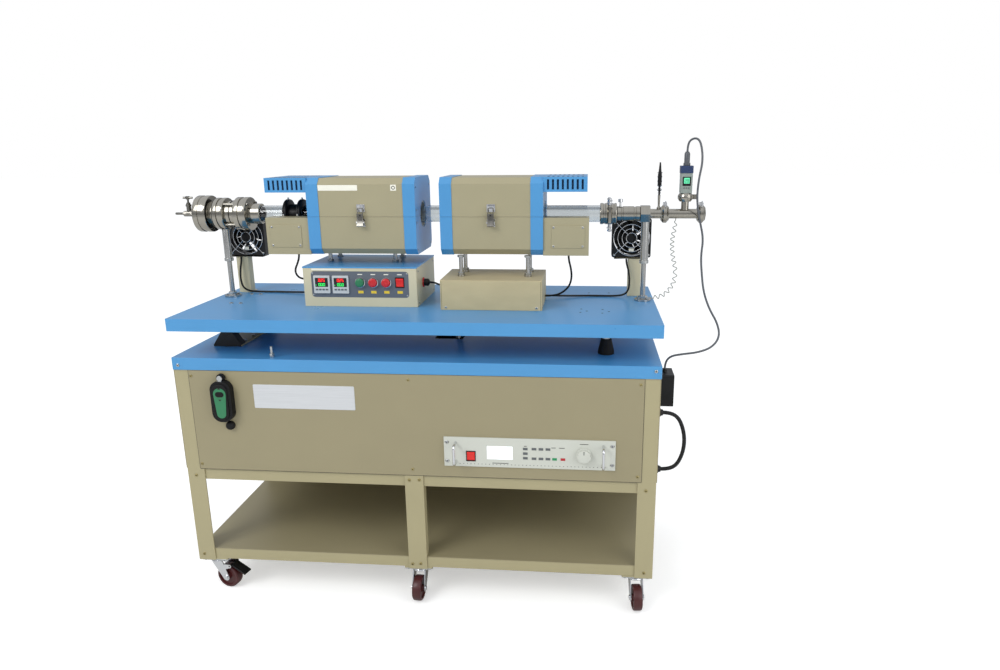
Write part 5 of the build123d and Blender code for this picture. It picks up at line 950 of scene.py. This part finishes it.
# Fibre board is chalky, with no highlight; fired kanthal is grey-brown, with a dull metal glint.
fibre = finish("white ceramic fibre board", "#E4E0D4", 0.95, tone=0.04, patch=25, grain=0.9, relief=0.12)
kanthal = finish("oxidised heater wire", "#6B5B50", 0.5, 0.6, tone=0.12, patch=12, grain=0.8, relief=0.01)
wrap_coat = finish(
    "furnace beige powder coat", "#A39B7C", 0.40, tone=0.02, patch=100, grain=1.6, relief=0.025
)
case_finishes = [wrap_coat, blue_coat, zinc, chrome]
fitted = [(3, (x - 14, x + 14), (-95, -64.6), (1095, 1170)) for x in LATCHES.values()]
for low, high in FURNACES.values():
    fitted.append((1, (low - 1, low + CAP_WIDTH), EVERYWHERE, EVERYWHERE))
    fitted.append((1, (high - CAP_WIDTH, high + 1), EVERYWHERE, EVERYWHERE))
    fitted.append((2, (low + 50, high - 50), (144.7, 175), (1085, 1175)))
bench("furnace_cases", case_finishes, fitted, ease=0.8)
for side, vent_box in (("left", (-470, -338.1)), ("right", (357.1, 490))):
    bench(f"{side}_lid", case_finishes, [*fitted, (1, vent_box, EVERYWHERE, (1190, 1245))], ease=0.8)
for node in ("lower_insulation", "left_lid_insulation", "right_lid_insulation"):
    bench(node, [fibre], ease=0.3)
for side, (low, high) in FURNACES.items():
    for part, node, start in (("upper", f"{side}_lid_insulation", 0), ("lower", "lower_insulation", 180)):
        wire = []
        for count, (y, z) in enumerate(around(TUBE_AXIS, WIRE_RING, np.arange(start + 9, start + 172, 12))):
            ends = (low + 14, high - 14) if count % 2 else (high - 14, low + 14)
            wire += [(x, y, z) for x in ends]
        name, run = f"{side}_{part}_heater", np.array(wire) * MM
        strand(name, [run], 0.9, kanthal, BODY_OF[node], smooth=False)
# A dull plate, greyer and darker than chrome, that mirrors the room darkly. The latches are chrome,
# and on them this darker colour is painted shade for the dark reflections that they show.
dark_grey_plate = finish("dull dark grey plate", "#8C8982", 0.24, 1.0, tone=0.12, patch=7, grain=1.0, relief=0.01)
for side, middle in LATCHES.items():
    node = f"{side}_latch"
    # The chrome latch takes the dark grey plate: its darker colour is painted shade.
    bench(node, [dark_grey_plate], ease=0.3)
    ribs = [brick((middle - 6, middle + 6), (-78.8, -78.2), (z, z + 1.1)) for z in np.arange(1118, 1130, 3.5)]
    holes = [lathe("Y", (middle, 1133.5), [(0, -78.8), (2.6, -78.8), (2.6, -78.3), (0, -78.3)], 20)]
    solid(f"{side}_latch_ribs", [(shadow, ribs + holes)], BODY_OF[node])
label = bar("Y", rounded((-242, 1211.5), 118, 16, 1), -64.9, -64.4)
badge = bar("Y", rounded((-76.5, 1211.5), 17, 17, 1), -64.9, -64.4)
mark = lathe("Y", (-76.5, 1211.5), [(3.4, -65.05), (5.4, -65.05), (5.4, -64.8), (3.4, -64.8)], 32)
layers = [(cream_card, [label, badge]), (shadow, [mark])]
solid("left_lid_plates", layers, BODY_OF["left_lid"])
# The vent box is open behind its slots, so they show its own blue in deep shade.
dark_inside = finish("unlit inside of the vent box", "#1E3F63", 0.8, tone=0.1, patch=20, grain=1, relief=0.02)
for side, span in (("left", (-459, -343)), ("right", (362, 478))):
    node = f"{side}_lid"
    shades = [brick(span, depth, (1200.5, 1236)) for depth in ((-50, -48), (118, 120))]
    for x in sum(span) / 2 + 14 * np.arange(-3.5, 4):
        shades += [bar("Z", rounded((x, y), 6, 40, 3), 1239.9, 1240.15) for y in (-24, 94)]
    solid(f"{side}_vent_shade", [(dark_inside, shades)], BODY_OF[node])
bench("terminal_boxes", [wrap_coat], ease=0.7)
spots = [("Y", (x + dx, 1070.5 + dz), -61.5, -1) for x in (-410, 429) for dx in (-42, 42) for dz in (-27, 27)]
screws("cover_screws", spots, "terminal_boxes", 3.0)
ends = [(x, out) for furnace in FURNACES.values() for x, out in zip(furnace, (-1, 1))]
spots = [("X", (y, z), x, out) for x, out in ends for y in (-52, 132) for z in (1030, 1110)]
screws("case_screws", spots, "furnace_cases", 3.2)
for side, (low, high) in FURNACES.items():
    spots = [("X", (y, 1146), low, -1) for y in (-52, 132)]
    spots += [("X", (y, z), high, 1) for y in (-52, 132) for z in (1146, 1212)]
    screws(f"{side}_lid_screws", spots, f"{side}_lid", 3.2)


# ---- The process tube, drawn from clear fused quartz and cut square at its ends, and the black
# electrode collars clamped round it, each with three plated studs.

# Fused quartz is clear and glossy, seen by its bright edges and by what it bends behind it.
quartz = finish(
    "clear fused quartz",
    "#F4F7F7",
    0.04,
    tone=0.005,
    patch=200,
    grain=8,
    relief=0.002,
    **{"Transmission Weight": 1.0, "IOR": 1.46},
)
node = "quartz_tube"
outline = [(22.5, -640), (24.6, -640), (25, -639.6), (25, 559.6), (24.6, 560), (22.5, 560)]
drawn_tube = lathe("X", TUBE_AXIS, outline, 96)
solid("quartz_tube_drawn", [(quartz, [drawn_tube])], "tilt", [node])
# Half of a collar's rim, from its groove to its bore, as (radius, distance from the middle).
half_rim = [(42.6, 0.8), (44, 1.6), (44, 4), (43.4, 5.4), (42, 6.2), (40, 6.4), (39, 7), (25.05, 7)]
rim = [(radius, -along) for radius, along in reversed(half_rim)] + half_rim
collars, studs = [lathe("X", TUBE_AXIS, [(25.05, -429), (29, -429), (29, -399), (25.05, -399)])], []
for x in (-436, -392):
    collars.append(lathe("X", TUBE_AXIS, [(radius, x + along) for radius, along in rim], 80))
    studs.append(tube("Z", (x, 40), 3.2, 1168, 1177, steps=20))
    studs += [tube("Y", (x, 1128), 3.2, *ends, steps=20) for ends in ((-9, 0), (80, 89))]
node = "rf_electrode"
solid("electrode_collars", [(black_abs, collars), (chrome, studs)], "tilt", [node])


# ---- Vacuum seals: turned stainless flanges drawn together by socket-head bolts on O-rings, with
# the needle valve on the left and the valve block, thumb screw and pipe on the right.
BORE = 25.4
VALVE_AXIS, RISER_AXIS, PROBE_AXIS = (-760, 40), (769, 40), (693, 40)
# Polished turning mirrors the room in soft bands that run round the tube's axis.
seal_steel = finish(
    "polished turned stainless",
    "#A39F95",
    0.16,
    1.0,
    tone=0.06,
    patch=(5, 60, 60),
    grain=(0.4, 8, 8),
    relief=0.006,
)


def flange(low, high, radius, bore, groove=3.0):
    """Turned flange about the tube: edges broken by 2 mm, and a groove round the middle of its rim, a
    fifth as wide as the flange is long."""
    middle, end, half = (low + high) / 2, (high - low) / 2, (high - low) / 10
    side = [(radius - groove, half), (radius, half + 1), (radius, end - 2)]
    side += [(radius - 0.6, end - 0.6), (radius - 3, end), (bore, end)]
    outline = [(r, middle - along) for r, along in reversed(side)]
    outline += [(r, middle + along) for r, along in side]
    return lathe("X", TUBE_AXIS, outline, 96)


def socket_head(centre, face, out, radius=5.0):
    """Cylinder head of a socket screw along X, standing on face, and the dark hexagon of its socket."""
    head = tube("X", centre, radius, *sorted((face, face + out * radius)), steps=24)
    top = sorted((face + out * radius, face + out * (radius + 0.1)))
    return head, bar("X", around(centre, radius * 0.55), *top)


shapes = [flange(-723, -681, 56, 4, 2), flange(-664, -630, 49, BORE), flange(-597, -557, 51, BORE)]
for radius, low, high in ((38, -681, -664), (39, -630, -597), (31, -557, -522)):
    shapes.append(tube("X", TUBE_AXIS, radius, low, high, bore=BORE, edge=0.8, steps=80))
shapes += [tube("X", at, 3.5, -630, -597, steps=20) for at in around(TUBE_AXIS, 43.5, QUARTERS)]
bolts = [socket_head(at, -723, -1, 4.5) for at in around(TUBE_AXIS, 47)]
bolts += [socket_head(at, -557, 1, 4.6) for at in around(TUBE_AXIS, 43.5, QUARTERS)]
seals = [
    tube("X", TUBE_AXIS, radius, low, high, bore=bore, steps=80)
    for radius, low, high, bore in ((48.4, -665.2, -663.8, 38), (40.5, -614.5, -612.5, 38.9))
]
stub = [
    (2, -805), (3, -805), (4, -803), (4, -782), (4.6, -781), (4.6, -778), (4, -777), (4, -776), (9, -776),
    (9, -744), (7, -744), (7, -723), (2, -723),
]
neck = [(0, 1128), (7, 1128), (7, 1150), (8.6, 1150.5), (8.6, 1156), (7, 1156.5), (7, 1158), (0, 1158)]
plated = [head for head, _ in bolts]
plated.append(lathe("X", TUBE_AXIS, stub, 40))
plated += [bar("X", around(TUBE_AXIS, 9.6), low, high) for low, high in ((-775.5, -766), (-754, -744.5))]
plated.append(lathe("Z", VALVE_AXIS, neck, 40))
sockets = [socket for _, socket in bolts]
layers = [(seal_steel, shapes), (dark_grey_plate, plated), (shadow, sockets), (black_rubber, seals)]
solid("inlet_flanges", layers, "tilt", ["inlet_seal"], smooth=35)
bench("valve_handle", [dark_grey_plate], ease=0.8)

shapes = [flange(low, high, 31.5, BORE, 1.6) for low, high in ((521, 545), (553, 570))]
shapes.append(bar("X", rounded(TUBE_AXIS, 90, 56, 6), 545, 553))
body = [
    (12.5, 570), (20, 570), (22, 572), (22, 583), (20.6, 584), (20.6, 588), (22, 589), (22, 620),
    (20.6, 621), (20.6, 626), (22, 627), (22, 638), (20, 640), (12.5, 640),
]
shapes.append(lathe("X", TUBE_AXIS, body, 72))
shapes.append(bar("X", around(TUBE_AXIS, 27.1), 640, 668))
pipe = [(12.5, 668), (14.2, 668), (14.2, 828.2), (13.4, 829), (12.5, 829)]
shapes.append(lathe("X", TUBE_AXIS, pipe, 64))
shapes.append(tube("Z", RISER_AXIS, 11, 1139, 1164, bore=8, steps=48))
clamp = [(8, 1164), (17, 1164), (22, 1172), (22, 1180), (17, 1188), (8, 1188)]
shapes.append(lathe("Z", RISER_AXIS, clamp, 64))
shapes.append(brick((789, 803), (37, 43), (1170, 1184)))
CLAMPS = (711, 816)
clamp = [(14.2, -9), (22, -9), (27, -4.5), (27, 4.5), (22, 9), (14.2, 9)]
for middle in CLAMPS:
    shapes.append(lathe("X", TUBE_AXIS, [(radius, middle + along) for radius, along in clamp], 64))
    shapes.append(tube("X", TUBE_AXIS, 20.4, middle - 11.5, middle + 11.5, bore=14.2, steps=64))
bolts = []
for at in ((549, 4), (549, 76)):
    bolts.append(tube("Z", at, 3.5, 1078, 1174, steps=20))
    bolts += [bar("Z", around(at, 7), z, z + 5) for z in (1080, 1157, 1166)]
bolts.append(tube("Z", (581, 40), 3, 1144, 1162, steps=20))
bolts.append(tube("Z", (581, 40), 7, 1162, 1171, steps=16))
for middle in CLAMPS:
    bolts.append(tube("Y", (middle, 1157), 3, 26, 54, steps=20))
    bolts.append(brick((middle - 5, middle + 5), (28, 52), (1150, 1161)))
    bolts.append(brick((middle - 1.4, middle + 1.4), (19, 27), (1148, 1166)))
socket = [(0, 1140), (6, 1140), (6, 1146), (3, 1150), (4.2, 1182), (0, 1182)]
shapes.append(lathe("Z", PROBE_AXIS, socket, 32))
probe = [(0, 1180), (4, 1178), (3, 1182), (3, 1208), (6, 1212), (6, 1240), (4, 1252), (2, 1276), (0, 1276)]
probe_body = lathe("Z", PROBE_AXIS, probe, 32)
# The tape's two edges wind up the probe opposite each other, two and a half turns in 62 mm.
TAPE_STEPS = 40
turn = np.linspace(0, 5 * np.pi, TAPE_STEPS)
wound = [
    [PROBE_AXIS[0] + r * np.cos(turn), PROBE_AXIS[1] + r * np.sin(turn), 1186 + turn / (5 * np.pi) * 62]
    for r in (-7.5, 7.5)
]
ribbon = np.array(wound).transpose(2, 0, 1).reshape(-1, 3)
ribbon_faces = [(2 * i, 2 * i + 1, 2 * i + 3, 2 * i + 2) for i in range(TAPE_STEPS - 1)]
# Crumpled tape breaks its highlight into many small bright facets.
foil = finish("crumpled silver tape", "#C9CBCC", 0.24, 1.0, tone=0.1, patch=6, grain=1.5, relief=0.1)
tape = (ribbon, ribbon_faces)
layers = [(seal_steel, shapes), (chrome, bolts), (black_rubber, [probe_body]), (foil, [tape])]
solid("outlet_fittings", layers, "tilt", ["outlet_line"], smooth=35)


# ---- The vacuum gauge: a grey-green moulded body with a lit face, a navy band and its plug. It is
# clamped to the outlet's riser, and its cord leaves from the top.

# The moulded body is satin, and its lit face is a flat, even green with dark figures.
gauge_grey = finish("grey-green gauge housing", "#8D968F", 0.42, tone=0.04, patch=20, grain=0.8, relief=0.012)
navy = finish("navy gauge band", "#26395F", 0.4, tone=0.05, patch=15, grain=0.8, relief=0.008)
lit_green = lit("lit green gauge face", "#5BD09A", 0.7)
band = (1, EVERYWHERE, EVERYWHERE, (1245.2, 1266.2))
plug = (2, EVERYWHERE, EVERYWHERE, (1266.3, 1310))
bench("gauge", [gauge_grey, navy, grey_pvc], [band, plug], ease=1.0)
face = [bar("Y", rounded((769, 1222), 24, 26, 2), 22.6, 23.1)]
glass = [bar("Y", rounded((769, 1224), 16, 16, 1), 22.3, 22.7)]
figures = digits("28", 763.6, 1219, 4.0, 9.0, 22.3, 0.9)
key_outline = [(0, 22.2), (2.2, 22.4), (2.4, 23.1), (0, 23.1)]
keys = [lathe("Y", (x, 1203), key_outline, 20) for x in (762, 769, 776)]
gills = [brick((786, 786.4), (28, 52), (z, z + 1.4)) for z in np.arange(1196, 1240, 4.0)]
layers = [(window_dark, face), (lit_green, glass), (shadow, figures + gills), (key_grey, keys)]
solid("gauge_face", layers, "tilt")


# ---- Cooling fans: black moulded square frames with swept blades, behind guards of chrome-plated
# wire, and screwed to beige posts that stand on the table.
FAN_X, FAN_Z = (-613, 620), 1048
FAN_BLADES = 7
HUB_REACH, BLADE_REACH = 19, 53
BLADE_GRID = 9


def blade(x, turn):
    """Wide swept blade, a thin curved sheet from the hub nearly to the bore. Its turn about the hub is
    its place across times a width that grows with the radius, plus a sweep of 0.006 per mm; its depth
    falls across it by the pitch, with a shallow square of the place across for its camber."""
    reach = (HUB_REACH, BLADE_REACH)
    out = np.linspace(*reach, BLADE_GRID)[:, None]
    across = np.linspace(-0.5, 0.5, BLADE_GRID)[None, :]
    angle = turn + across * np.interp(out, reach, (0.80, 0.98)) + (out - HUB_REACH) * 0.006
    along = 119.5 - across * np.interp(out, reach, (21, 17)) + 5 * (across**2 - 0.08)
    u, v = x + out * np.cos(angle), FAN_Z + out * np.sin(angle)
    sheets = [place("Y", u, v, along + thick) for thick in (-0.6, 0.6)]
    corner = np.arange(BLADE_GRID**2).reshape(BLADE_GRID, BLADE_GRID)
    near = np.stack([corner[:-1, :-1], corner[:-1, 1:], corner[1:, 1:], corner[1:, :-1]], -1).reshape(-1, 4)
    far = near[:, ::-1] + corner.size
    ring = np.concatenate([corner[0], corner[1:, -1], corner[-1, -2::-1], corner[-2:0:-1, 0]])
    beside = np.roll(ring, -1)
    rim = np.column_stack([ring, beside, beside + corner.size, ring + corner.size])
    return np.concatenate(sheets), np.concatenate([near, far, rim])


guard_spans = [((x - 70, x + 70), (96, 100.9), (FAN_Z - 70, FAN_Z + 70)) for x in FAN_X]
posts = [(1, (x - 21, x + 21), EVERYWHERE, (860, 988.2)) for x in (-636, 632)]
bench("fans", [black_abs, pale_coat], posts, guard_spans, ease=0.6)
for side, x in zip(("left", "right"), FAN_X):
    turn = np.linspace(0, 2 * np.pi, 48, endpoint=False)
    hoops = [
        place("Y", x + radius * np.cos(turn), FAN_Z + radius * np.sin(turn), 98.4) * MM
        for radius in (16, 29, 42, 55)
    ]
    strand(f"{side}_guard_rings", hoops, 1.1, chrome, "tilt", closed=True)
    legs = []
    for ends in zip(*(around((x, FAN_Z), radius, QUARTERS) for radius in (14, 71, 75))):
        legs.append(np.array([(u, y, v) for (u, v), y in zip(ends, (99.6, 99.6, 100.6))]) * MM)
    strand(f"{side}_guard_legs", legs, 1.1, chrome, "tilt", smooth=False)
    node = f"{side}_impeller"
    blades = [blade(x, turn) for turn in np.arange(FAN_BLADES) * 2 * np.pi / FAN_BLADES]
    hub = lathe("Y", (x, FAN_Z), [(0, 106), (17, 106), (19.4, 107), (20, 109), (20, 133), (0, 133)], 48)
    solid(f"{node}_moulded", [(black_abs, [hub, *blades])], BODY_OF[node], [node], smooth=50)
    badge = [bar("Y", rounded((x, FAN_Z - 36), 15, 9, 1), 96.7, 97.1)]
    spots = [("Y", (x + dx, FAN_Z + dz), 101, -1) for dx in (-52.5, 52.5) for dz in (-52.5, 52.5)]
    solid(f"{side}_fan_badge", [(cream_card, badge)], "tilt")
    screws(f"{side}_fan_screws", spots, "fans", 3.6)
